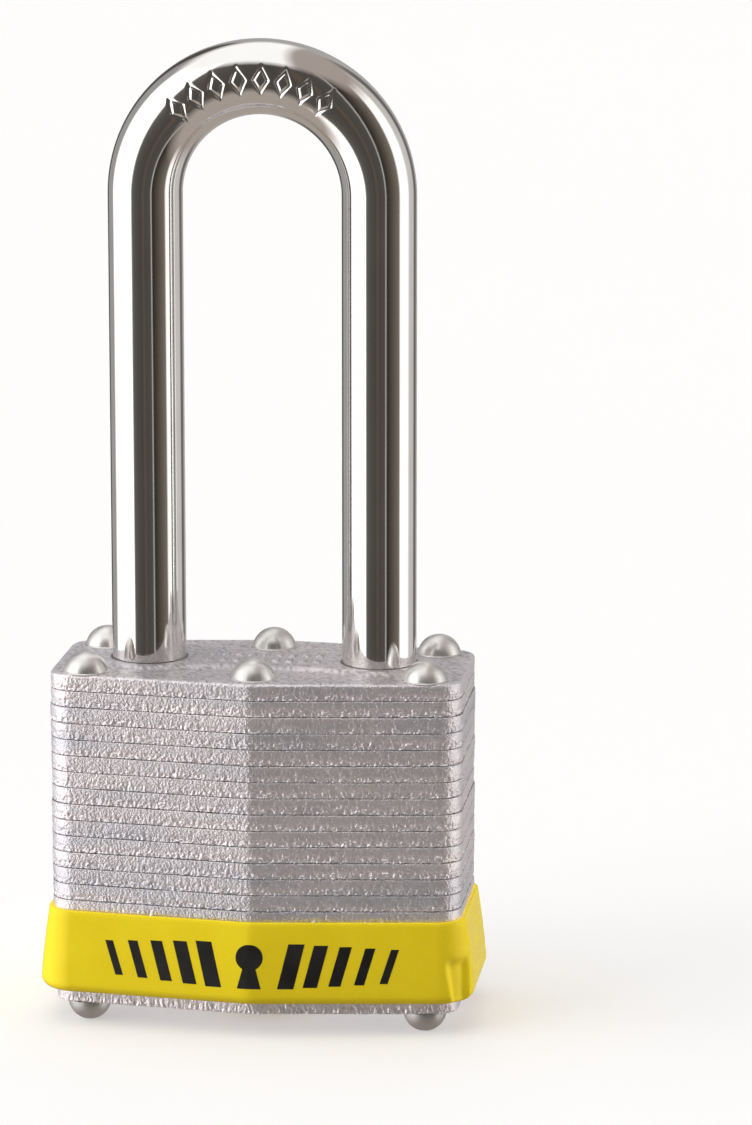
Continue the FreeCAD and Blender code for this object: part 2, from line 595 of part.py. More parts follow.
def make_plug():
    """The plug with its face, tail, keyway, pin bores and clip groove, turned to the open side."""
    head_low = f"({BODY_FLOOR} + dims.face_recess)"
    head_high = f"({COVER_TOP} - dims.plug_head_gap)"
    barrel_top = f"({CYLINDER_TOP} - dims.plug_head_gap)"
    tail_top = f"({LEVER_CEILING} - dims.plug_head_gap)"
    clip_low = f"({SHELL_TOP} + dims.clip_slack)"
    tail = common("plug_tail", cylinder("tail_round", "dims.tail_radius", f"{tail_top} - {head_high}",
                                        z=head_high),
                  box("tail_flats", "-dims.tail_radius", "dims.tail_radius", "dims.tail_flat",
                      head_high, tail_top))
    solid = fuse("plug_solid", [
        cylinder("plug_head", PLUG_HEAD, f"{head_high} - {head_low}", z=head_low),
        cylinder("plug_barrel", "dims.plug_radius", f"{barrel_top} - {head_high}", z=head_high), tail])
    groove_height = "dims.clip_thickness + 2 * dims.clip_slack"
    groove = cut("clip_groove", cylinder("clip_groove_out", "dims.plug_radius + dims.overcut",
                                         groove_height, z=SHELL_TOP),
                 cylinder("clip_groove_in", CLIP_SEAT, groove_height, z=SHELL_TOP))
    keyway_top = f"{pin_height(PINS)} + dims.keyway_end"
    holes = [groove]
    for name, x_low, x_high, y_low, y_high in KEYWAY_SLOTS:
        slot = doc.addObject("Part::Box", f"keyway_{name}")
        slot.Length, slot.Width = x_high - x_low, y_high - y_low
        bind(slot, Height=keyway_top)
        holes.append(put(slot, str(x_low), str(y_low)))
    for pin in range(1, PINS + 1):
        holes.append(cylinder(f"key_pin_bore_{pin}", PIN_BORE, PLUG_HEAD, z=pin_height(pin), turn=TO_Y))
    keep(cut("plug", solid, fuse("plug_holes", holes)))

    ring = cut("clip_ring", cylinder("clip_out", CLIP_RADIUS, "dims.clip_thickness", z=clip_low),
               cylinder("clip_in", f"{CLIP_SEAT} + dims.clip_slack", "dims.clip_thickness", z=clip_low))
    mouth = box("clip_mouth", "0", f"{CLIP_RADIUS} + dims.overcut", "dims.clip_mouth", clip_low,
                f"{clip_low} + dims.clip_thickness")
    keep(cut("plug_clip", ring, mouth))


def make_cam():
    """The oval cam on the plug's tail, its long axis across the levers' travel when they are thrown."""
    floor = f"({TOE_LEVER_FLOOR} + dims.plug_head_gap)"
    height = f"{LEVER_CEILING} - dims.plug_head_gap - {floor}"
    oval = doc.addObject("Part::Ellipse", "cam_oval")
    bind(oval, MajorRadius="dims.cam_long", MinorRadius=CAM_SHORT)
    blank = extrude("cam_blank", oval, height, floor)
    eye = common("cam_eye", cylinder("eye_round", "dims.tail_radius + dims.fit_clearance", height, z=floor),
                 box("eye_flats", "-2 * dims.tail_radius", "2 * dims.tail_radius",
                     "dims.tail_flat + dims.fit_clearance", floor, f"{floor} + {height}"))
    keep(cut("cam", blank, eye))


def make_pins():
    """Key pins in the plug, driver pins and their springs in the tower, all parted at the shear line."""
    shear = "sqrt(dims.plug_radius^2 - dims.pin_radius^2) - dims.shear_gap"
    driver_start = "dims.plug_radius + dims.fit_clearance + dims.shear_gap"
    spring_start = f"{driver_start} + dims.driver_length + dims.pin_spring_wire + dims.fit_clearance"
    spring_end = f"{TOWER_REACH} - dims.pin_spring_wire"
    drivers, springs = [], []
    for pin in range(1, PINS + 1):
        z = pin_height(pin)
        shoulder = f"dims.key_cut_{pin} + dims.pin_tip"
        keep(fuse(f"key_pin_{pin}", [
            cone(f"key_pin_tip_{pin}", "dims.pin_radius - dims.pin_tip", "dims.pin_radius", "dims.pin_tip",
                 y=f"dims.key_cut_{pin}", z=z, turn=TO_Y),
            cylinder(f"key_pin_shank_{pin}", "dims.pin_radius", f"{shear} - ({shoulder})", y=shoulder, z=z,
                     turn=TO_Y)]))
        drivers.append(cylinder(f"driver_pin_{pin}", "dims.pin_radius", "dims.driver_length", driver_start,
                                z=z, turn=TO_X))
        springs.append(coil(f"pin_spring_{pin}", "dims.pin_spring_radius", "dims.pin_spring_wire",
                            "dims.pin_spring_pitch", f"{spring_end} - ({spring_start})", spring_start,
                            z=z, turn=TO_X))
    keep(group("driver_pins", drivers))
    keep(group("pin_springs", springs))


def check_model():
    """Stop if an object failed or a sub-part is empty or invalid."""
    for obj in doc.Objects:
        if "Invalid" in obj.State or "Error" in obj.State:
            raise RuntimeError(f"{obj.Name} failed: {obj.State}")
    for piece in nodes:
        if piece.Shape.isNull() or not piece.Shape.isValid() or not piece.Shape.Solids:
            raise RuntimeError(f"{piece.Label} has no valid solid")


def write_parts():
    """Write each sub-part to a file of its own name."""
    os.makedirs("parts", exist_ok=True)
    for piece in nodes:
        piece.Shape.exportStep(os.path.join("parts", f"{piece.Label}.step"))


make_plates()
make_rivets()
make_bumper()
make_shackle()
make_shackle_spring()
make_levers()
make_cylinder_shell()
make_plug()
make_cam()
make_pins()
doc.recompute()
check_model()
write_parts()
for title, expression in (("shackle lift", LIFT), ("top face", TOP_FACE), ("toe end", TOE_END)):
    print(f"{title}: {value(expression):.4f} mm")
for piece in nodes:
    print(f"{piece.Label}: {len(piece.Shape.Solids)} solid(s), {piece.Shape.Volume:.2f} mm3")
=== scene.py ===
"""Looks of a laminated steel padlock with a long chromed shackle and a moulded yellow bumper.

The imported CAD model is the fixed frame: millimetre sizes below are turned into metres when a mesh is made,
+X runs across the two legs with the toe leg on +X, the front face looks along -Y, and the floor is Z = 0.
"""
import logging
import math
from dataclasses import dataclass, field
from enum import Enum

import bmesh
import bpy
import numpy as np
import numpy.typing as npt
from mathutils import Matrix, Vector, geometry


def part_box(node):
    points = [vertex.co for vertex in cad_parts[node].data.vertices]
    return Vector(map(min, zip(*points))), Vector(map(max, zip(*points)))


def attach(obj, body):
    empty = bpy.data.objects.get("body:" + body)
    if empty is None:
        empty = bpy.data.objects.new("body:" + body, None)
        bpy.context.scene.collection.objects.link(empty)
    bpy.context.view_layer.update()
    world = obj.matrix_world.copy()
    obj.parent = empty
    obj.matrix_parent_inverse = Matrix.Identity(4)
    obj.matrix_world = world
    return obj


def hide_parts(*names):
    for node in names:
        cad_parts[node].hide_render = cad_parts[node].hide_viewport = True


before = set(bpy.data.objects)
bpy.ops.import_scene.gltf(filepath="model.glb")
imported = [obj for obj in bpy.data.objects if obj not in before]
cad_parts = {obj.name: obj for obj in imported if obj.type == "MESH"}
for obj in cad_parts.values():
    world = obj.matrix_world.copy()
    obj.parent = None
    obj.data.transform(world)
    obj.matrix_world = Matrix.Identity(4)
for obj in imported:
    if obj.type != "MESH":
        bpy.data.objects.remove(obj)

Floats = npt.NDArray[np.float64]
Ints = npt.NDArray[np.int64]
Triple = tuple[float, float, float]
Colour = Triple
Pair = tuple[float, float]
Stops = tuple[tuple[float, Colour], ...]
Socket = bpy.types.NodeSocket

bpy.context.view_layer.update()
MM = 0.001
WELD = 1e-6
LEVEL = 1e-3
SHADE_AND_GRIME = (0.035, 0.032, 0.03)
GRIME_DULLING = 0.35
LOG = logging.getLogger("padlock")


class Body(Enum):
    """The moving bodies of the frame."""

    LOCK = "lock_body"
    SHACKLE = "shackle"


class Slot(Enum):
    """Finishes that the record names."""

    PLATE = "plate_steel"
    RIVET = "rivet_steel"
    CHROME = "shackle_chrome"
    PLASTIC = "bumper_plastic"


def box_mm(node: str) -> tuple[Floats, Floats]:
    """Return the lowest and highest corner of a CAD node, in millimetres."""
    low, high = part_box(node)
    return np.array(low) / MM, np.array(high) / MM


def direction(turn: float, rise: float) -> Vector:
    """Return the direction that lies a turn to the right of the lock's front and rises by an angle."""
    return Vector((math.sin(turn) * math.cos(rise), -math.cos(turn) * math.cos(rise), math.sin(rise)))


def smooth_step(x: Floats, start: float, end: float) -> Floats:
    """Rise from 0 at start to 1 at end along 3t^2 - 2t^3."""
    t = np.clip((x - start) / (end - start), 0.0, 1.0)
    return t * t * (3.0 - 2.0 * t)


def sheet_faces(rows: int, columns: int, round_rows: bool = False, round_columns: bool = False) -> Ints:
    """Quads of a grid of points held row by row.

    Args:
        rows: Rows of points.
        columns: Points in a row.
        round_rows: The last row joins the first.
        round_columns: The last column joins the first.

    Returns:
        Four point indices for each quad.
    """
    row, column = np.mgrid[0:rows if round_rows else rows - 1, 0:columns if round_columns else columns - 1]
    below, beside = (row + 1) % rows, (column + 1) % columns
    corners = [row * columns + column, row * columns + beside, below * columns + beside,
               below * columns + column]
    return np.stack(corners, axis=-1).reshape(-1, 4)


def loose_edges(triangles: Ints) -> Ints:
    """Return the edges that only one of the triangles uses."""
    sides = [triangles[:, pair] for pair in ([0, 1], [1, 2], [2, 0])]
    pairs = np.sort(np.concatenate(sides), axis=1)
    edges, uses = np.unique(pairs, axis=0, return_counts=True)
    return edges[uses == 1]


def node_triangles(node: str) -> tuple[Floats, Ints]:
    """Read a CAD node's surface with its doubled points merged.

    Args:
        node: The node's name.

    Returns:
        Points in millimetres, and three point indices for each triangle.
    """
    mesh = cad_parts[node].data
    mesh.calc_loop_triangles()
    places = np.empty(3 * len(mesh.vertices), np.float32)
    mesh.vertices.foreach_get("co", places)
    corners = np.empty(3 * len(mesh.loop_triangles), np.int32)
    mesh.loop_triangles.foreach_get("vertices", corners)
    microns, index = np.unique(np.round(places.reshape(-1, 3) / WELD), axis=0, return_inverse=True)
    triangles = index.reshape(-1)[corners].reshape(-1, 3).astype(np.int64)
    whole = (np.diff(np.sort(triangles, axis=1), axis=1) > 0).all(axis=1)
    return microns * (WELD / MM), triangles[whole]


@dataclass
class Skin:
    """The surface of one piece while it is worked out, in millimetres, with a value at each point for how
    dark its painted shade and grime are.
    """

    points: list[Floats] = field(default_factory=list)
    shades_and_grime: list[Floats] = field(default_factory=list)
    faces: list[Ints] = field(default_factory=list)
    count: int = 0

    def add(self, points: Floats, faces: Ints, shade_and_grime: Floats | float = 0.0) -> None:
        """Add points and the faces between them.

        Args:
            points: Any array whose last axis is X, Y, Z.
            faces: Indices into these points.
            shade_and_grime: How dark the painted shade and grime are at each point, from 0 to 1.
        """
        flat = points.reshape(-1, 3)
        self.points.append(flat)
        self.shades_and_grime.append(np.broadcast_to(np.asarray(shade_and_grime, float).reshape(-1), (len(flat),)))
        self.faces.append(faces + self.count)
        self.count += len(flat)

    def add_slab(self, front: Floats, back: Floats) -> None:
        """Add a closed slab between two grids of points of the same shape: both grids and their four rims."""
        rows, columns, _ = front.shape
        for grid in (front, back):
            self.add(grid, sheet_faces(rows, columns))
        for edge in (np.s_[0, :], np.s_[-1, :], np.s_[:, 0], np.s_[:, -1]):
            rim = np.stack([front[edge], back[edge]])
            self.add(rim, sheet_faces(2, rim.shape[1]))

    def build(self, name: str, material: bpy.types.Material, body: Body,
              sharp: float = 32.0) -> bpy.types.Object:
        """Weld the surface, turn its faces outwards and put it in the scene.

        Args:
            name: The piece's name.
            material: Its finish.
            body: The body that it rides on.
            sharp: Edges bent by more than this many degrees stay crisp.

        Returns:
            The new object.
        """
        sizes = np.concatenate([np.full(len(faces), faces.shape[1]) for faces in self.faces])
        corners = np.concatenate([faces.reshape(-1) for faces in self.faces])
        mesh = bpy.data.meshes.new(name)
        mesh.vertices.add(self.count)
        mesh.vertices.foreach_set("co", (np.concatenate(self.points) * MM).astype(np.float32).ravel())
        mesh.loops.add(len(corners))
        mesh.loops.foreach_set("vertex_index", corners.astype(np.int32))
        mesh.polygons.add(len(sizes))
        mesh.polygons.foreach_set("loop_start", (np.cumsum(sizes) - sizes).astype(np.int32))
        mesh.update(calc_edges=True)
        shade_and_grime = mesh.attributes.new("shade_and_grime", "FLOAT", "POINT")
        shade_and_grime.data.foreach_set("value", np.concatenate(self.shades_and_grime).astype(np.float32))
        work = bmesh.new()
        work.from_mesh(mesh)
        bmesh.ops.remove_doubles(work, verts=work.verts, dist=WELD)
        stray = [vertex for vertex in work.verts if not vertex.link_faces]
        bmesh.ops.delete(work, geom=stray, context="VERTS")
        bmesh.ops.recalc_face_normals(work, faces=work.faces)
        work.to_mesh(mesh)
        work.free()
        mesh.polygons.foreach_set("use_smooth", np.ones(len(mesh.polygons), bool))
        mesh.set_sharp_from_angle(angle=math.radians(sharp))
        mesh.materials.append(material)
        piece = bpy.data.objects.new(name, mesh)
        bpy.context.scene.collection.objects.link(piece)
        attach(piece, body.value)
        LOG.info("%s: %d faces on %s", name, len(mesh.polygons), body.value)
        return piece


@dataclass(frozen=True)
class Outline:
    """The six-sided outline of the plates, walked counter-clockwise from the front left corner."""

    half_width: float = 19.9
    ridge_half: float = 10.1
    corner_half: float = 7.7
    corner_radius: float = 2.6
    ridge_radius: float = 3.0

    def _bends(self) -> tuple[Floats, ...]:
        """Return each corner's arc radius, turn, centre, first angle, end, way out and both lengths."""
        x, ridge, y = self.half_width, self.ridge_half, self.corner_half
        corners = np.array([(-x, -y), (0, -ridge), (x, -y), (x, y), (0, ridge), (-x, y)])
        radius = np.array([self.corner_radius, self.ridge_radius, self.corner_radius] * 2)
        way_out = np.roll(corners, -1, axis=0) - corners
        way_out /= np.linalg.norm(way_out, axis=1, keepdims=True)
        way_in = np.roll(way_out, 1, axis=0)
        turn = np.arctan2(way_in[:, 0] * way_out[:, 1] - way_in[:, 1] * way_out[:, 0],
                          (way_in * way_out).sum(axis=1))
        reach = (radius * np.tan(turn / 2))[:, None]
        start, end = corners - way_in * reach, corners + way_out * reach
        centre = start + np.stack([-way_in[:, 1], way_in[:, 0]], axis=1) * radius[:, None]
        first = np.arctan2(start[:, 1] - centre[:, 1], start[:, 0] - centre[:, 0])
        run = np.linalg.norm(np.roll(start, -1, axis=0) - end, axis=1)
        return radius, turn, centre, first, end, way_out, radius * turn, run

    def length(self) -> float:
        """Return the distance all round."""
        *_, arc, run = self._bends()
        return float(arc.sum() + run.sum())

    def corner(self, index: int) -> float:
        """Return how far along the outline the middle of a corner is."""
        *_, arc, run = self._bends()
        return float((arc[:index] + run[:index]).sum() + arc[index] / 2)

    def walk(self, along: Floats) -> tuple[Floats, Floats]:
        """Find points on the outline: each corner is an arc about its centre, and straight runs join them.

        Args:
            along: Distances along the outline, of any shape.

        Returns:
            Points and outward directions, each with a last axis of X and Y.
        """
        radius, turn, centre, first, end, way_out, arc, run = self._bends()
        lengths = np.stack([arc, run], axis=1).ravel()
        marks = np.concatenate([[0.0], np.cumsum(lengths)])
        along = np.mod(along, marks[-1])
        part = np.clip(np.searchsorted(marks, along, side="right") - 1, 0, len(lengths) - 1)
        k, past = part // 2, along - marks[part]
        on_arc = part % 2 == 0
        angle = first[k] + np.where(on_arc, past / radius[k], turn[k])
        outward = np.stack([np.cos(angle), np.sin(angle)], axis=-1)
        round_point = centre[k] + radius[k][..., None] * outward
        straight_point = end[k] + way_out[k] * past[..., None]
        return np.where(on_arc[..., None], round_point, straight_point), outward


class Nodes:
    """A node tree under construction."""

    def __init__(self, tree: bpy.types.NodeTree) -> None:
        """Start with an empty tree."""
        self.tree = tree
        tree.nodes.clear()

    def add(self, kind: str, inputs: dict | None = None, **settings: object) -> bpy.types.Node:
        """Add a node.

        Args:
            kind: The node's type without its ShaderNode prefix.
            inputs: A value or another node's output for each named or numbered input.
            settings: Properties of the node itself.

        Returns:
            The new node.
        """
        node = self.tree.nodes.new("ShaderNode" + kind)
        for name, setting in settings.items():
            setattr(node, name, setting)
        for name, source in (inputs or {}).items():
            if isinstance(source, Socket):
                self.tree.links.new(source, node.inputs[name])
            else:
                node.inputs[name].default_value = source
        return node

    def place(self, scale: Triple) -> Socket:
        """Return object coordinates stretched by a scale for each axis."""
        spot = self.add("TexCoord").outputs["Object"]
        return self.add("Mapping", {"Vector": spot, "Scale": scale}).outputs["Vector"]

    def noise(self, scale: Triple, detail: float = 3.0) -> Socket:
        """Return fractal noise with so many lumps to the metre on each axis."""
        node = self.add("TexNoise", {"Vector": self.place(scale), "Scale": 1.0, "Detail": detail})
        return node.outputs["Fac"]

    def spread(self, source: Socket, low: float, high: float, start: float = 0.3, end: float = 0.7) -> Socket:
        """Map a source that runs from start to end onto low to high."""
        node = self.add("MapRange", {"Value": source, "From Min": start, "From Max": end,
                                     "To Min": low, "To Max": high})
        return node.outputs["Result"]

    def math(self, operation: str, *sources: Socket | float) -> Socket:
        """Return the result of one arithmetic step."""
        return self.add("Math", dict(enumerate(sources)), operation=operation).outputs[0]

    def blend(self, share: Socket, a: Colour | Socket, b: Colour | Socket) -> Socket:
        """Return a colour between a and b."""
        pair = [source if isinstance(source, Socket) else (*source, 1.0) for source in (a, b)]
        node = self.add("Mix", {0: share, 6: pair[0], 7: pair[1]}, data_type="RGBA")
        return node.outputs[2]

    def bump(self, height: Socket, depth: float, strength: float = 1.0,
             under: Socket | None = None) -> Socket:
        """Return a surface direction roughened by a height map of so many metres."""
        inputs = {"Height": height, "Distance": depth, "Strength": strength}
        if under is not None:
            inputs["Normal"] = under
        return self.add("Bump", inputs).outputs["Normal"]


@dataclass(frozen=True)
class Metal:
    """Bare or plated metal with a drawn or rolled grain."""

    name: str
    light: Colour
    dark: Colour
    smooth: float
    rough: float
    grain: Triple = (700.0, 700.0, 700.0)
    grain_depth: float = 4e-6
    pits: float = 2500.0
    pit_depth: float = 1.5e-6
    metallic: float = 1.0
    tints: Triple = (160.0, 160.0, 160.0)

    def make(self) -> bpy.types.Material:
        """Return the material: colour and gloss vary, painted shade and grime darken and dull it, and grain
        and pits roughen the surface.
        """
        material = bpy.data.materials.new(self.name)
        material.use_nodes = True
        nodes = Nodes(material.node_tree)
        grain = nodes.noise(self.grain, 5.0)
        cloud = nodes.noise(self.tints)
        pits = nodes.noise((self.pits,) * 3, 2.0)
        colour = nodes.blend(nodes.spread(cloud, 0.0, 1.0), self.light, self.dark)
        # The point attribute read here blends the colour towards near-black: painted shade at seams, bores
        # and the lower rivet heads, plus grime and specks.
        shade_and_grime = nodes.add("Attribute", attribute_name="shade_and_grime").outputs["Fac"]
        shaded_and_soiled = nodes.blend(shade_and_grime, colour, SHADE_AND_GRIME)
        rough = nodes.math("ADD", nodes.spread(grain, self.smooth, self.rough),
                           nodes.math("MULTIPLY", shade_and_grime, GRIME_DULLING))
        normal = nodes.bump(pits, self.pit_depth, under=nodes.bump(grain, self.grain_depth))
        shader = nodes.add("BsdfPrincipled", {"Base Color": shaded_and_soiled, "Metallic": self.metallic,
                                              "Roughness": rough, "Normal": normal})
        nodes.add("OutputMaterial", {"Surface": shader.outputs[0]})
        return material


@dataclass(frozen=True)
class Plastic:
    """Moulded plastic with a faint orange peel and small scuffs."""

    name: str
    light: Colour
    dark: Colour
    gloss: float = 0.24
    scuffed: float = 0.42

    def make(self) -> bpy.types.Material:
        """Return the material: mottled colour, scuffs that dull the gloss, and a shallow peel."""
        material = bpy.data.materials.new(self.name)
        material.use_nodes = True
        nodes = Nodes(material.node_tree)
        mottle = nodes.noise((220.0, 220.0, 220.0), 4.0)
        peel = nodes.noise((1400.0, 1400.0, 1400.0), 2.0)
        scuffs = nodes.noise((900.0, 900.0, 900.0), 6.0)
        colour = nodes.blend(nodes.spread(mottle, 0.0, 1.0), self.light, self.dark)
        rough = nodes.spread(scuffs, self.gloss, self.scuffed, 0.45, 0.75)
        normal = nodes.bump(scuffs, 1.5e-6, under=nodes.bump(peel, 4e-6, 0.6))
        shader = nodes.add("BsdfPrincipled", {"Base Color": colour, "Roughness": rough, "Normal": normal,
                                              "IOR": 1.49, "Specular IOR Level": 0.15})
        nodes.add("OutputMaterial", {"Surface": shader.outputs[0]})
        return material


SHEARED_STEEL = Metal("sheared_steel", (0.98, 0.905, 0.925), (0.77, 0.755, 0.81), 0.27, 0.48,
                      (2600.0, 2600.0, 2000.0), 1.6e-5, 4700.0, 8e-5, 0.7, (70.0, 70.0, 420.0))
CHROME = Metal("chrome_plate", (0.88, 0.865, 0.845), (0.82, 0.80, 0.775), 0.045, 0.10,
               (2200.0, 2200.0, 90.0), 5e-7, 900.0, 7e-7)
RIVET_STEEL = Metal("rivet_steel", (0.88, 0.865, 0.845), (0.72, 0.705, 0.685), 0.26, 0.46,
                    (900.0, 900.0, 900.0), 1.6e-5, 4000.0, 4e-6, 0.85)
BRASS = Metal("turned_brass", (0.80, 0.60, 0.27), (0.62, 0.43, 0.16), 0.18, 0.36)
LEVER_STEEL = Metal("lever_steel", (0.52, 0.51, 0.50), (0.38, 0.37, 0.36), 0.28, 0.48)
SPRING_STEEL = Metal("spring_steel", (0.60, 0.58, 0.55), (0.42, 0.40, 0.38), 0.18, 0.34)
YELLOW = Plastic("yellow_plastic", (0.87, 0.68, 0.02), (0.82, 0.63, 0.016))
INK = Plastic("black_ink", (0.012, 0.012, 0.012), (0.03, 0.028, 0.026), 0.35, 0.55)


@dataclass
class PlateStack:
    """Twenty punched plates: a bottom cover, four seat plates, fourteen plain ones and an embossed top."""

    outline: Outline = Outline()
    plates: int = 20
    seat_plates: range = range(2, 6)
    thickness: float = 1.5875
    cover_inset: float = 0.3
    seat_inset: float = 0.6
    columns: int = 1120
    rollover: float = 0.13
    top_rollover: float = 0.3
    tear: float = 0.055
    wave_span: float = 34.0
    noise_span: float = 3.0
    mark_width: Pair = (0.07, 0.15)
    mark_reach: Pair = (0.10, 0.26)
    mark_depth: Pair = (-0.034, 0.026)
    torn_share: Pair = (0.3, 0.52)
    torn_wave: float = 0.14
    torn_noise: float = 3.2
    skin_noise: float = 0.022
    foot_depth: float = 0.09
    foot_height: float = 0.1
    marks: int = 620
    leg_x: float = 11.2
    leg_bore: float = 3.77
    panel_radius: float = 4.9
    panel_waist: float = 3.4
    panel_height: float = 0.35
    panel_slope: float = 0.45
    stamp_pitch: float = 1.3
    stamp_height: float = 0.22
    stamp_reach: float = 4.5
    stamp_middle: float = 0.2
    stamp_row: float = 1.2
    stamp_half_width: float = 0.36
    stamp_half_length: float = 0.66
    coarse_step: float = 0.27
    fine_step: float = 0.115
    # Painted shade and grime at the seams; painted shade on bore walls and hidden faces; grime and random
    # specks on the top face.
    seam_shade_and_grime_reach: float = 0.1
    bore_shade: float = 0.35
    hidden_face_shade: float = 0.9
    top_soil: float = 0.16
    top_specks: float = 0.45
    seed: int = 7

    def panel_distance(self, x: Floats, y: Floats) -> Floats:
        """Distance outside the raised panel: a disc round each leg, and a bridge with circular waists."""
        discs = np.hypot(np.abs(x) - self.leg_x, y) - self.panel_radius
        waist = ((self.leg_x ** 2 + self.panel_waist ** 2 - self.panel_radius ** 2)
                 / (2 * (self.panel_radius - self.panel_waist)))
        bridge = waist - np.hypot(x, np.abs(y) - self.panel_waist - waist)
        tangent = self.leg_x * waist / (waist + self.panel_radius)
        between = (np.abs(x) < tangent) & (np.abs(y) < self.panel_radius)
        return np.where(between, np.minimum(discs, bridge), discs)

    def relief(self, x: Floats, y: Floats) -> Floats:
        """Height above the top plate: the panel rises over its slope, with two rows of stamped bars on it.

        Each bar is the product of two flat-topped bells, exp(-(a/w)^8), on a lattice of the stamp's pitch.
        """
        rise = self.panel_height * smooth_step(-self.panel_distance(x, y), 0.0, self.panel_slope)
        across = (np.mod(x / self.stamp_pitch + 0.5, 1.0) - 0.5) * self.stamp_pitch
        row = np.abs(np.abs(y - self.stamp_middle) - self.stamp_row)
        bars = np.exp(-(across / self.stamp_half_width) ** 8 - (row / self.stamp_half_length) ** 8)
        bars *= np.abs(x) < self.stamp_reach * self.stamp_pitch
        return rise + self.stamp_height * bars

    def edge(self, number: int, along: Floats, level: Floats, thick: float) -> Floats:
        """Work out how far each point of a punched edge stands off the outline.

        From the bottom up the edge is a torn zone, a burnished zone and a quarter-round rollover.
        Smoothed noise moves the zones' border, and bell-shaped nicks, each exp(-(s/w)^2 - (t/h)^2), are
        spread at random.

        Args:
            number: The plate's number, which seeds its own wear.
            along: Distance of each column along the outline.
            level: Height of each row above the plate's underside.
            thick: The plate's thickness.

        Returns:
            Offsets in rows and columns.
        """
        dice = np.random.default_rng(self.seed * 1000 + number)
        around = self.outline.length()
        roll = self.top_rollover if number == self.plates else self.rollover
        waves = np.fft.rfftfreq(len(along))
        rough = np.fft.rfft(dice.normal(size=len(along)))
        coarse = np.fft.irfft(rough * np.exp(-(waves * self.wave_span) ** 2), len(along))
        coarse /= np.abs(coarse).max()
        rough = np.fft.rfft(dice.normal(size=(len(level), len(along))), axis=1)
        fine = np.fft.irfft(rough * np.exp(-(waves * self.noise_span) ** 2), len(along), axis=1)
        fine /= np.abs(fine).max()
        height = level[:, None]
        border = (dice.uniform(*self.torn_share) + self.torn_wave * coarse) * thick
        torn = 1.0 - smooth_step(height - border, -0.05, 0.12)
        into_roll = np.clip((height - (thick - roll)) / roll, 0.0, 1.0)
        rolled = roll * 0.8 * (1.0 - np.sqrt(1.0 - into_roll ** 2 * 0.999))
        into_foot = np.clip(1.0 - height / self.foot_height, 0.0, 1.0)
        foot = self.foot_depth * into_foot ** 2 * (1.0 + 0.8 * coarse)
        place = dice.uniform(0.0, around, self.marks)
        tall = dice.normal(0.5, 0.13, self.marks) * thick
        width = dice.uniform(*self.mark_width, self.marks)
        reach = dice.uniform(*self.mark_reach, self.marks)
        deep = dice.uniform(*self.mark_depth, self.marks)
        gap = np.mod(along[None] - place[:, None] + around / 2, around) - around / 2
        columns = np.exp(-(gap / width[:, None]) ** 2) * deep[:, None]
        rows = np.exp(-((level[None] - tall[:, None]) / reach[:, None]) ** 2)
        nicks = rows.T @ columns
        stand = dice.uniform(-0.05, 0.03) + 0.02 * coarse
        tears = self.tear * torn * (1.0 + self.torn_noise * fine)
        return stand + nicks - tears + self.skin_noise * fine - rolled - foot

    def within(self, spots: Floats, start: Floats, end: Floats) -> npt.NDArray[np.bool_]:
        """Tell which points lie on a face: a line along +X from one crosses the edges an odd number of times.

        Args:
            spots: Points to sort.
            start: One end of each edge, of the rim and of the holes.
            end: The other end of each edge.

        Returns:
            A flag for each point.
        """
        x, y = spots.T
        inside = np.zeros(len(spots), bool)
        for (x0, y0), (x1, y1) in zip(start, end):
            if y0 != y1:
                inside ^= ((y0 > y) != (y1 > y)) & (x < x0 + (y - y0) * (x1 - x0) / (y1 - y0))
        return inside

    def cap(self, skin: Skin, ring: Floats, holes: Floats, edges: Ints, extra: Floats, base: float,
            embossed: bool, shade_and_grime: float) -> None:
        """Fill a flat face of a plate between its rim and its holes, which stay open.

        Args:
            skin: The plate's surface, which the face is added to.
            ring: Points of the rim.
            holes: Points of the holes' rims.
            edges: Edges between those points.
            extra: Points inside the face that carry the relief.
            base: Height of the face.
            embossed: The face has the raised panel.
            shade_and_grime: How dark the face is painted: shade on faces hidden between plates, grime and
                specks on the top.
        """
        count = len(ring)
        spots = [Vector(spot) for spot in np.concatenate([ring, holes, extra]).tolist()]
        rim = np.stack([np.arange(count), np.roll(np.arange(count), -1)], axis=1)
        lines = np.concatenate([rim, edges + count])
        filled, _, faces, *_ = geometry.delaunay_2d_cdt(spots, lines.tolist(), [], 2, 1e-6, False)
        flat = np.array([tuple(spot) for spot in filled])
        faces = np.array(faces)
        start, end = np.concatenate([ring, holes])[lines].transpose(1, 0, 2)
        faces = faces[self.within(flat[faces].mean(axis=1), start, end)]
        height = base + (self.relief(flat[:, 0], flat[:, 1]) if embossed else np.zeros(len(flat)))
        dice = np.random.default_rng(self.seed)
        specks = self.top_specks * dice.random(len(flat)) ** 2 if embossed else 0.0
        skin.add(np.column_stack([flat, height]), faces, shade_and_grime + specks)

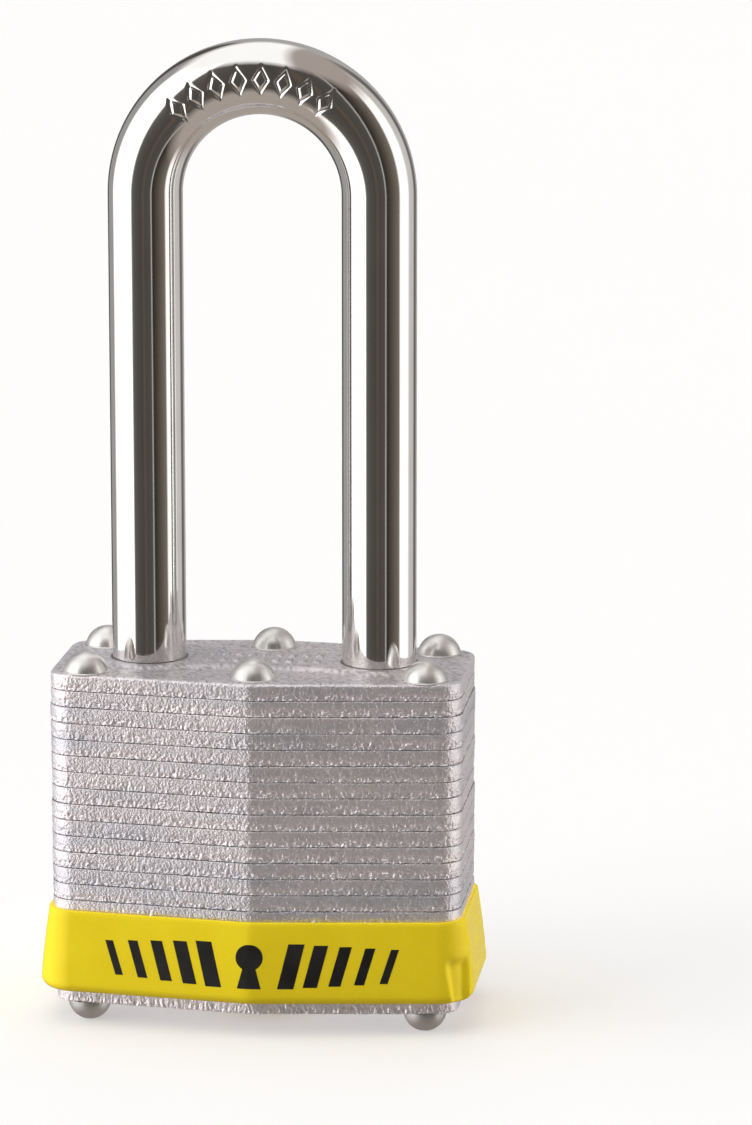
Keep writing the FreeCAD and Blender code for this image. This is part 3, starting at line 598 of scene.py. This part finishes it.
    def lattice(self, ring: Floats, bores: Floats) -> Floats:
        """Points of a fine square lattice that lie inside a rim and clear of the bores."""
        wide, deep = 4.7 * self.stamp_pitch, 2.3
        spans = ((self.outline.half_width, self.outline.ridge_half, self.coarse_step),
                 (wide, deep, self.fine_step))
        coarse, fine = ([axis.ravel() for axis in np.meshgrid(np.arange(-x, x, step), np.arange(-y, y, step))]
                        for x, y, step in spans)
        outside = (np.abs(coarse[0]) > wide) | (np.abs(coarse[1]) > deep)
        spots = np.concatenate([np.stack(coarse, axis=1)[outside], np.stack(fine, axis=1)])
        rim = ring[::6]
        gap = spots[:, None] - rim[None]
        near = np.argmin((gap ** 2).sum(axis=2), axis=1)
        away = np.take_along_axis(gap, near[:, None, None], axis=1)[:, 0]
        inside = (np.linalg.norm(away, axis=1) > 0.4) & ((away * rim[near]).sum(axis=1) < 0)
        legs = np.hypot(np.abs(spots[:, 0]) - self.leg_x, spots[:, 1]) > self.leg_bore + 0.15
        clear = (((spots[:, None] - bores[None]) ** 2).sum(axis=2).min(axis=1) > 0.2 ** 2) & legs
        return spots[inside & clear]

    def plate(self, number: int, material: bpy.types.Material) -> None:
        """Build one plate: a punched edge worked out on a grid, the CAD's own bores, and two flat faces.

        Args:
            number: The plate's number, counted from the bottom.
            material: Its finish.
        """
        node = f"plate_{number:02d}"
        low, high = (corner[2] for corner in box_mm(node))
        embossed = number == self.plates
        top = low + self.thickness if embossed else high
        thick = top - low
        inset = self.cover_inset if number == 1 else self.seat_inset if number in self.seat_plates else 0.0
        around = self.outline.length()
        along = np.arange(self.columns) * around / self.columns
        roll = self.top_rollover if embossed else self.rollover
        level = np.concatenate([[0.0, 0.03, 0.09], np.linspace(0.2, thick - roll, 10),
                                thick - roll * np.cos(np.linspace(0.3, math.pi / 2, 5))])
        flat, outward = self.outline.walk(along)
        stand = self.edge(number, along, level, thick) - inset
        wall = flat[None] + outward[None] * stand[..., None]
        height = np.broadcast_to((low + level)[:, None, None], (*stand.shape, 1))
        # Painted shade and grime: the wall darkens towards each seam between plates, more on some plates and
        # in waves along the edge.
        from_seam = level if embossed else np.minimum(level, thick - level)
        shade = np.clip(1.0 - from_seam / self.seam_shade_and_grime_reach, 0.0, 1.0) ** 2
        dice = np.random.default_rng(self.seed + number)
        seam_shade_and_grime = dice.uniform(0.5, 1.0) * (0.75 + 0.25 * np.sin(along * dice.uniform(0.4, 1.3) + number))
        skin = Skin()
        skin.add(np.concatenate([wall, height], axis=2), sheet_faces(len(level), self.columns, False, True),
                 shade[:, None] * seam_shade_and_grime)
        points, triangles = node_triangles(node)
        from_rim = points[:, None, :2] - (flat - outward * inset)[None, ::2]
        outer = np.sqrt((from_rim ** 2).sum(axis=2)).min(axis=1) < 0.2
        if embossed:
            outer |= np.abs(self.panel_distance(points[:, 0], points[:, 1])) < 0.1
        z = points[triangles][:, :, 2]
        level_face = np.ptp(z, axis=1) < LEVEL
        at_end = (np.abs(z[:, 0] - low) < LEVEL) | (z[:, 0] > top - LEVEL)
        bores = triangles[~(level_face & at_end) & ~outer[triangles].all(axis=1)]
        # Painted shade: the bore walls are darkened.
        skin.add(points, bores, self.bore_shade)
        edges = loose_edges(bores)
        edge_z = points[edges][:, :, 2]
        for upper, ring in ((False, wall[0]), (True, wall[-1])):
            chosen = edge_z > top - LEVEL if upper else np.abs(edge_z - low) < LEVEL
            used, index = np.unique(edges[chosen.all(axis=1)], return_inverse=True)
            relief = embossed and upper
            shown = (number == 1 and not upper) or relief
            rims = points[used][:, :2]
            extra = self.lattice(ring, rims) if shown else np.empty((0, 2))
            # Painted shade: faces pressed between plates are darkened; the top face gets grime and random
            # specks.
            self.cap(skin, ring, rims, index.reshape(-1, 2), extra, top if upper else low, relief,
                     self.hidden_face_shade if not shown else self.top_soil if relief else 0.0)
        piece = skin.build(f"punched_{node}", material, Body.LOCK)
        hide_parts(node)

    def build(self) -> None:
        """Build the whole stack."""
        material = SHEARED_STEEL.make()
        for number in range(1, self.plates + 1):
            self.plate(number, material)


@dataclass
class Shackle:
    """A bent round bar: chamfered ends, a foot and groove on the heel, and a notch for each lever."""

    radius: float = 3.57
    leg_x: float = 11.2
    toe_end: float = 23.6
    chamfer: float = 1.0
    notch_low: float = 26.175
    notch_high: float = 29.95
    toe_depth: float = 1.5
    heel_depth: float = 1.9
    relief_depth: float = 0.45
    groove_low: float = 15.1
    groove_high: float = 17.15
    groove_core: float = 1.72
    columns: int = 184
    stamps: int = 8
    first_stamp: float = math.radians(-42.0)
    last_stamp: float = math.radians(35.0)
    stamp_depth: float = 0.1
    heel_end: float = field(init=False)
    bow_centre: float = field(init=False)

    def __post_init__(self) -> None:
        """Take the heel's end and the bow's centre from the CAD piece."""
        low, high = box_mm("shackle")
        self.heel_end = float(low[2])
        self.bow_centre = float(high[2]) - self.leg_x - self.radius

    def stations(self) -> Floats:
        """Distances along the bar of its rows: close pairs where the section jumps, fine at the stamps."""
        heel, bow = self.bow_centre - self.heel_end, math.pi * self.leg_x
        whole = heel + bow + self.bow_centre - self.toe_end
        step = 0.012
        jumps = [self.groove_low, self.groove_high, self.notch_low, self.notch_high]
        heel_jumps = np.array(jumps) - self.heel_end
        toe_jumps = whole - (np.array(jumps[2:]) - self.toe_end)
        crown = heel + bow / 2
        stamped = np.arange(crown + (self.first_stamp - 0.12) * self.leg_x,
                            crown + (self.last_stamp + 0.12) * self.leg_x, 0.1)
        rows = np.concatenate([
            [0.0, self.chamfer], heel_jumps - step, heel_jumps + step, toe_jumps - step, toe_jumps + step,
            np.arange(2.0, heel, 1.6), np.linspace(heel, stamped[0], 22), stamped,
            np.linspace(stamped[-1], heel + bow, 26), np.arange(heel + bow + 1.0, whole - 1.5, 1.6),
            [whole - self.chamfer, whole]])
        return np.concatenate([[0.0], np.unique(np.round(rows, 4)), [whole]])

    def section(self, along: Floats, around: Floats) -> Floats:
        """Radius of the bar: full, less a cone at each end, the groove, and flats of distance / cos(angle).

        Args:
            along: Distance of each row from the heel's end.
            around: Angle of each column from the side away from the other leg.

        Returns:
            Radii in rows and columns.
        """
        heel, bow = self.bow_centre - self.heel_end, math.pi * self.leg_x
        whole = heel + bow + self.bow_centre - self.toe_end
        s, angle = along[:, None], around[None]
        size = self.radius - np.maximum(0.0, self.chamfer - np.minimum(s, whole - s)) + 0 * angle
        inward = np.maximum(-np.cos(angle), 1e-6)
        heel_z, toe_z = self.heel_end + s, self.toe_end + whole - s
        on_heel, on_toe = s < heel, s > heel + bow
        for here, z, low, high, depth in (
                (on_heel, heel_z, self.groove_high, self.notch_high, self.relief_depth),
                (on_heel, heel_z, self.notch_low, self.notch_high, self.heel_depth),
                (on_toe, toe_z, self.notch_low, self.notch_high, self.toe_depth)):
            flat = np.minimum(size, (self.radius - depth) / inward)
            size = np.where(here & (z > low) & (z < high), flat, size)
        grooved = on_heel & (heel_z > self.groove_low) & (heel_z < self.groove_high)
        size = np.where(grooved, self.groove_core, size)
        return size - self.stamp(s - heel - bow / 2, angle)

    def stamp(self, from_crown: Floats, angle: Floats) -> Floats:
        """Depth of the row of stamped diamonds: a bell across the line |a|/w + |b|/h = 0.8 of each one."""
        pitch = (self.last_stamp - self.first_stamp) / (self.stamps - 1)
        turned = from_crown / self.leg_x
        place = (turned - self.first_stamp) / pitch
        across = (np.mod(place + 0.5, 1.0) - 0.5) * pitch * self.leg_x
        up = (angle + math.pi / 2) * self.radius
        ring = np.abs(across) / 0.86 + np.abs(up) / 1.45
        shown = (place > -0.5) & (place < self.stamps - 0.5)
        return self.stamp_depth * np.exp(-((ring - 0.8) / 0.2) ** 2) * shown

    def build(self) -> None:
        """Carry the section along the legs and the bow; the rows at both ends close to a point."""
        heel, bow = self.bow_centre - self.heel_end, math.pi * self.leg_x
        along = self.stations()
        around = np.linspace(-math.pi, math.pi, self.columns, endpoint=False)
        size = self.section(along, around)
        size[[0, -1]] = 0.0
        turned = np.clip((along - heel) / self.leg_x, 0.0, math.pi)
        rise = np.minimum(along, heel) - np.maximum(along - heel - bow, 0.0)
        zero = np.zeros_like(along)
        away = np.stack([-np.cos(turned), zero, np.sin(turned)], axis=1)
        centre = away * self.leg_x
        centre[:, 2] += self.heel_end + rise
        depth = np.array([0.0, 1.0, 0.0])
        points = (centre[:, None] + size[..., None] * (np.cos(around)[None, :, None] * away[:, None]
                                                       + np.sin(around)[None, :, None] * depth))
        skin = Skin()
        skin.add(points, sheet_faces(len(along), self.columns, False, True))
        piece = skin.build("bent_shackle", CHROME.make(), Body.SHACKLE)
        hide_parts("shackle")


@dataclass
class Bumper:
    """The moulded bumper with its printed mark: a keyhole between two groups of slanted bars."""

    outline: Outline = Outline()
    bottom: float = 3.2
    top: float = 11.2
    seat_top: float = 10.6
    cover_top: float = 4.25
    edge: float = 0.9
    flare: float = 1.2
    lip: float = 0.35
    lip_round: float = 0.16
    cover_gap: float = -0.25
    seat_gap: float = -0.55
    lip_gap: float = 0.05
    columns: int = 900
    scoop_depth: float = 0.62
    scoop_foot: Pair = (3.0, 4.0)
    scoop_top: Pair = (6.7, 7.9)
    scoop_half: float = 0.6
    scoop_widening: float = 0.11
    mark_middle: float = 7.05
    mark_height: float = 4.3
    bars: int = 5
    bar_pitch: float = 2.35
    first_bar: float = 3.9
    slant: float = 1.1
    eye_radius: float = 1.22
    eye_rise: float = 0.86
    slot_half: float = 1.15
    ink: float = 0.03
    ink_root: float = 0.08

    def proud(self, z: Floats) -> Floats:
        """How far the skirt stands off the plates: level low down, then drawn in to the lip."""
        share = np.clip((z - self.bottom - self.edge) / (self.top - self.bottom - self.edge), 0.0, 1.0)
        return self.flare + (self.lip - self.flare) * share ** 1.25

    def profile(self) -> tuple[Floats, Floats]:
        """Stand-off and height of the closed section, from the inner foot outwards, up and down again."""
        bend = np.linspace(0.0, math.pi / 2, 10)
        low_out = self.flare - self.edge + self.edge * np.sin(bend)
        low_up = self.bottom + self.edge * (1.0 - np.cos(bend))
        skirt = np.linspace(self.bottom + self.edge, self.top - self.lip_round, 22)[1:]
        lip_in = self.lip - self.lip_round
        stand = np.concatenate([[self.cover_gap, 0.1], low_out, self.proud(skirt),
                                lip_in + self.lip_round * np.cos(bend[2:]), [self.lip_gap, self.lip_gap],
                                [self.seat_gap, self.seat_gap, self.cover_gap]])
        height = np.concatenate([[self.bottom, self.bottom], low_up, skirt,
                                 self.top - self.lip_round * (1.0 - np.sin(bend[2:])),
                                 [self.top, self.seat_top],
                                 [self.seat_top, self.cover_top, self.cover_top]])
        return stand, height

    def scoop(self, along: Floats, z: Floats) -> Floats:
        """Depth of the finger scoops at two opposite corners: a flat-topped bell that widens upwards."""
        around = self.outline.length()
        deep = np.zeros(np.broadcast(along, z).shape)
        for corner in (2, 5):
            gap = np.mod(along - self.outline.corner(corner) + around / 2, around) - around / 2
            fade = smooth_step(z, *self.scoop_foot) * (1.0 - smooth_step(z, *self.scoop_top))
            wide = self.scoop_half + self.scoop_widening * np.clip(z - self.bottom, 0.0, 5.0)
            deep = deep + self.scoop_depth * np.exp(-(gap / wide) ** 6) * fade
        return deep

    def on_skin(self, along: Floats, z: Floats, lift: float) -> Floats:
        """Points at a height above the bumper's skirt, which the printed mark follows."""
        flat, outward = self.outline.walk(along)
        return np.concatenate([flat + outward * (self.proud(z) + lift)[..., None], z[..., None]], axis=-1)

    def print_mark(self) -> None:
        """Build the mark as thin ink pads: slanted bars that get narrower outwards, and a keyhole."""
        middle = self.outline.corner(1)
        low = self.mark_middle - self.mark_height / 2
        p, q = np.meshgrid(np.linspace(-1.0, 1.0, 13), np.linspace(-1.0, 1.0, 13))
        skin = Skin()
        shapes = []
        for side in (-1.0, 1.0):
            for bar in range(self.bars):
                wide = 0.78 - 0.1 * bar
                tall = self.mark_height / 2 * (1.0 - 0.06 * bar)
                centre = side * (self.first_bar + bar * self.bar_pitch)
                shapes.append((centre + wide * p + side * self.slant / 2 * q, self.mark_middle + tall * q))
        eye, slot_half = self.eye_radius, self.slot_half
        shapes.append((eye * p * np.sqrt(1 - q ** 2 / 2), self.mark_middle + self.eye_rise
                       + eye * q * np.sqrt(1 - p ** 2 / 2)))
        shapes.append(((0.72 - 0.3 * q) * p, low + slot_half + slot_half * q))
        for across, z in shapes:
            skin.add_slab(*(self.on_skin(middle + across, z, lift) for lift in (self.ink, -self.ink_root)))
        skin.build("printed_mark", INK.make(), Body.LOCK)

    def build(self) -> None:
        """Sweep the section round the plates' outline and press in the scoops."""
        around = self.outline.length()
        along = np.arange(self.columns) * around / self.columns
        stand, height = self.profile()
        flat, outward = self.outline.walk(along)
        dent = self.scoop(along[None], height[:, None]) * (stand > 0.12)[:, None]
        off = stand[:, None] - dent
        points = np.concatenate([flat[None] + outward[None] * off[..., None],
                                 np.broadcast_to(height[:, None, None], (*off.shape, 1))], axis=2)
        skin = Skin()
        skin.add(points, sheet_faces(len(stand), self.columns, True, True))
        piece = skin.build("moulded_bumper", YELLOW.make(), Body.LOCK)
        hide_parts("bumper")
        self.print_mark()


@dataclass
class Rivets:
    """Four long rivets through the whole stack, and two short ones through its upper plates."""

    shank: float = 1.25
    head: float = 2.13
    head_height: float = 1.9
    tail: float = 2.1
    tail_height: float = 1.95
    tail_shade_and_dulling: float = 0.3
    sink: float = 0.7
    corner: Pair = (16.35, 5.85)
    middle_y: float = 6.95
    columns: int = 72

    def dome(self, base: float) -> Floats:
        """Radius and height of an upper head, from its seat to its crown: a flash rim, then a ball cap."""
        ball = (self.head ** 2 + self.head_height ** 2) / (2 * self.head_height)
        start = math.asin(min(1.0, self.head / ball))
        sweep = np.linspace(start, 0.0, 22)
        cap = np.stack([ball * np.sin(sweep), base + self.head_height - ball * (1 - np.cos(sweep))], axis=1)
        cap[:, 1] = np.maximum(cap[:, 1], base + 0.14)
        rim = np.array([(self.head + 0.09, base), (self.head + 0.12, base + 0.07),
                        (self.head + 0.03, base + 0.14)])
        return np.concatenate([rim, cap])

    def foot(self, base: float) -> Floats:
        """Radius and height up a lower head: a flat where it stands, then part of a ball."""
        flat = math.acos(self.tail_height / self.tail)
        sweep = np.linspace(flat, math.pi / 2, 18)
        ball = np.stack([self.tail * np.sin(sweep), base - self.tail * np.cos(sweep)], axis=1)
        return np.concatenate([[(0.0, base - self.tail_height)], ball])

    def turn(self, skin: Skin, profile: Floats, x: float, y: float) -> None:
        """Turn a profile about an upright axis: the point at angle a is (r cos a, r sin a, z)."""
        angle = np.arange(self.columns) * 2 * math.pi / self.columns
        across = profile[:, 0][:, None]
        points = np.stack([x + across * np.cos(angle), y + across * np.sin(angle),
                           np.broadcast_to(profile[:, 1][:, None], (len(profile), self.columns))], axis=2)
        # Painted shade: the lower heads, down by the floor, are darkened in colour; they are also dulled in
        # gloss.
        lower_shade_and_dulling = np.repeat(self.tail_shade_and_dulling * (profile[:, 1] < self.tail_height + LEVEL), self.columns)
        skin.add(points, sheet_faces(len(profile), self.columns, False, True), lower_shade_and_dulling)

    def build(self) -> None:
        """Build both groups of rivets."""
        material = RIVET_STEEL.make()
        seat = box_mm("plate_20")[0][2] + PlateStack.thickness
        floor = box_mm("plate_01")[0][2]
        long_rivets, short_rivets = Skin(), Skin()
        shank = np.array([(self.shank, floor), (self.shank, seat)])
        profile = np.concatenate([self.foot(floor), shank, self.dome(seat)])
        for side in (-1, 1):
            for face in (-1, 1):
                self.turn(long_rivets, profile, side * self.corner[0], face * self.corner[1])
        start = box_mm("mid_rivets")[0][2]
        profile = np.concatenate([[(0.0, start), (self.shank + self.sink, start),
                                   (self.shank, start + self.sink), (self.shank, seat)], self.dome(seat)])
        for face in (-1, 1):
            self.turn(short_rivets, profile, 0.0, face * self.middle_y)
        for skin, name, node in ((long_rivets, "long_rivets", "corner_rivets"),
                                 (short_rivets, "short_rivets", "mid_rivets")):
            piece = skin.build(name, material, Body.LOCK)
            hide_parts(node)


@dataclass(frozen=True)
class Works:
    """The lock's inner pieces, which keep their CAD shapes."""

    brass: tuple[str, ...] = ("cylinder_shell", "spring_cover", "plug", "cam", "driver_pins", "key_pin_1",
                              "key_pin_2", "key_pin_3", "key_pin_4")
    levers: tuple[str, ...] = ("toe_lever", "heel_lever")
    springs: tuple[str, ...] = ("shackle_spring", "toe_lever_spring", "heel_lever_spring", "plug_clip",
                                "pin_springs")

    def dress(self) -> None:
        """Give each inner piece its finish."""
        for finish, names in ((BRASS, self.brass), (LEVER_STEEL, self.levers), (SPRING_STEEL, self.springs)):
            material = finish.make()
            for name in names:
                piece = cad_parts[name]
                if not piece.material_slots:
                    piece.data.materials.append(material)
                for place in piece.material_slots:
                    place.material = material
                LOG.info("%s: %s", name, finish.name)


@dataclass
class Studio:
    """A pale floor, a camera and soft studio light with dark card in front and a soft box to each side."""

    azimuth: float = math.radians(7.07)
    elevation: float = math.radians(11.69)
    distance: float = 480.1
    lens: float = 160.0
    aim: Triple = (-0.15, 0.0, 46.41)
    aim_right: float = 10.94
    aim_up: float = -2.16
    floor_size: float = 6.0
    brightest: float = 2.4
    keys: tuple[Pair, ...] = ((-68.0, 2.2), (95.0, 1.7))
    key_rise: float = math.radians(22.0)
    key_spread: float = math.radians(50.0)
    ring: Stops = (
        (-180.0, (0.42, 0.41, 0.41)), (-163.0, (0.42, 0.41, 0.41)), (-158.0, (0.09, 0.085, 0.08)),
        (-143.0, (0.08, 0.075, 0.07)), (-138.0, (0.36, 0.35, 0.36)), (-110.0, (0.36, 0.35, 0.36)),
        (-104.0, (1.4, 1.39, 1.38)), (-60.0, (1.45, 1.44, 1.43)), (-38.0, (2.0, 1.98, 1.96)),
        (-33.0, (0.13, 0.12, 0.11)), (-20.0, (0.09, 0.082, 0.075)), (-4.0, (0.07, 0.064, 0.06)),
        (2.0, (0.12, 0.09, 0.065)), (7.0, (0.075, 0.07, 0.065)), (24.5, (0.085, 0.08, 0.075)),
        (26.0, (0.55, 0.53, 0.5)), (27.5, (0.5, 0.48, 0.45)), (29.0, (0.03, 0.026, 0.024)),
        (36.0, (0.05, 0.042, 0.036)), (52.0, (0.12, 0.10, 0.08)), (70.0, (0.2, 0.17, 0.15)),
        (75.0, (1.3, 1.28, 1.25)), (104.0, (1.3, 1.28, 1.25)), (112.0, (0.62, 0.6, 0.58)),
        (134.0, (0.6, 0.58, 0.56)), (139.0, (0.16, 0.15, 0.14)), (154.0, (0.16, 0.15, 0.14)),
        (159.0, (0.45, 0.44, 0.43)), (180.0, (0.42, 0.41, 0.41)))
    overhead: Stops = (
        (-1.0, (1.15, 1.15, 1.15)), (0.04, (1.15, 1.15, 1.15)), (0.14, (0.42, 0.37, 0.34)),
        (0.78, (0.40, 0.34, 0.31)), (0.86, (1.3, 1.3, 1.3)), (1.0, (1.3, 1.3, 1.3)))
    under: Colour = (0.42, 0.37, 0.33)

    def make_camera(self) -> None:
        """Aim the camera at the lock from its front, a little to the right and above."""
        back = direction(self.azimuth, self.elevation)
        right = Vector((math.cos(self.azimuth), math.sin(self.azimuth), 0.0))
        up = back.cross(right)
        aim = Vector(self.aim) + right * self.aim_right + up * self.aim_up
        data = bpy.data.cameras.new("camera")
        data.lens = self.lens
        data.clip_start = 0.01
        camera = bpy.data.objects.new("camera", data)
        camera.location = (aim + back * self.distance) * MM
        camera.rotation_euler = (-back).to_track_quat("-Z", "Y").to_euler()
        bpy.context.scene.collection.objects.link(camera)
        bpy.context.scene.camera = camera

    def make_floor(self) -> None:
        """Lay the floor that the lower rivet heads stand on."""
        half = self.floor_size / 2
        mesh = bpy.data.meshes.new("floor")
        mesh.from_pydata([(-half, -half, 0), (half, -half, 0), (half, half, 0), (-half, half, 0)], [],
                         [(0, 1, 2, 3)])
        floor = bpy.data.objects.new("floor", mesh)
        bpy.context.scene.collection.objects.link(floor)
        floor.visible_glossy = False
        floor.visible_diffuse = False
        material = bpy.data.materials.new("floor_white")
        material.use_nodes = True
        nodes = Nodes(material.node_tree)
        colour = nodes.blend(nodes.noise((2.0, 2.0, 2.0)), (0.83, 0.83, 0.835), (0.85, 0.85, 0.855))
        shader = nodes.add("BsdfDiffuse", {"Color": colour})
        nodes.add("OutputMaterial", {"Surface": shader.outputs[0]})
        mesh.materials.append(material)

    def make_keys(self) -> None:
        """Add a broad light to each side that only matt surfaces answer to, as through a diffuser."""
        for degrees, strength in self.keys:
            light = bpy.data.lights.new("key", "SUN")
            light.energy = strength
            light.angle = self.key_spread
            light.use_shadow = False
            key = bpy.data.objects.new("key", light)
            back = direction(math.radians(degrees), self.key_rise)
            key.rotation_euler = (-back).to_track_quat("-Z", "Y").to_euler()
            key.visible_glossy = False
            bpy.context.scene.collection.objects.link(key)

    def add_ramp(self, nodes: Nodes, place: Socket, stops: Stops, span: float) -> Socket:
        """Add a colour ramp.

        Args:
            nodes: The tree that takes it.
            place: What the ramp is read at, from 0 to 1.
            stops: Places, counted from the ramp's middle, and their colours.
            span: How long the whole ramp is.

        Returns:
            The colour, as a share of the brightest light.
        """
        ramp = nodes.add("ValToRGB", {"Fac": place})
        elements = ramp.color_ramp.elements
        while len(elements) < len(stops):
            elements.new(0.5)
        for element, (spot, _) in zip(elements, stops):
            element.position = spot / span + 0.5
        for element, (_, colour) in zip(elements, stops):
            element.color = (*(part / self.brightest for part in colour), 1.0)
        return ramp.outputs["Color"]

    def make_light(self) -> None:
        """Light the scene from all round: a ramp by direction, a soft box overhead and a dim one below."""
        world = bpy.data.worlds.new("studio")
        bpy.context.scene.world = world
        world.use_nodes = True
        nodes = Nodes(world.node_tree)
        way = nodes.add("SeparateXYZ", {0: nodes.add("TexCoord").outputs["Generated"]})
        x, y, z = (way.outputs[axis] for axis in "XYZ")
        angle = nodes.math("ARCTAN2", x, nodes.math("MULTIPLY", y, -1.0))
        turn = nodes.math("ADD", nodes.math("DIVIDE", angle, 2 * math.pi), 0.5)
        ring = self.add_ramp(nodes, turn, self.ring, 360.0)
        across = nodes.math("ADD", nodes.math("DIVIDE", x, 2.0), 0.5)
        ceiling = self.add_ramp(nodes, across, self.overhead, 2.0)
        top = nodes.spread(z, 0.0, 1.0, math.sin(math.radians(40)), math.sin(math.radians(54)))
        bottom = nodes.spread(z, 1.0, 0.0, math.sin(math.radians(-44)), math.sin(math.radians(-28)))
        colour = nodes.blend(bottom, nodes.blend(top, ring, ceiling),
                             tuple(part / self.brightest for part in self.under))
        light = nodes.add("Background", {"Color": colour, "Strength": self.brightest})
        white = nodes.add("Background", {"Color": (1.0, 1.0, 1.0, 1.0), "Strength": 1.0})
        seen = nodes.add("LightPath").outputs["Is Camera Ray"]
        both = nodes.add("MixShader", {0: seen, 1: light.outputs[0], 2: white.outputs[0]})
        nodes.add("OutputWorld", {"Surface": both.outputs[0]})

    def build(self) -> None:
        """Set up the floor, the camera and the light."""
        self.make_camera()
        self.make_floor()
        self.make_keys()
        self.make_light()
        bpy.context.scene.view_settings.view_transform = "Standard"


def main() -> None:
    """Build the padlock's looks in order, then the studio."""
    logging.basicConfig(level=logging.INFO, format="%(message)s")
    PlateStack().build()
    Shackle().build()
    Bumper().build()
    Rivets().build()
    Works().dress()
    Studio().build()


if __name__ == "__main__":
    main()
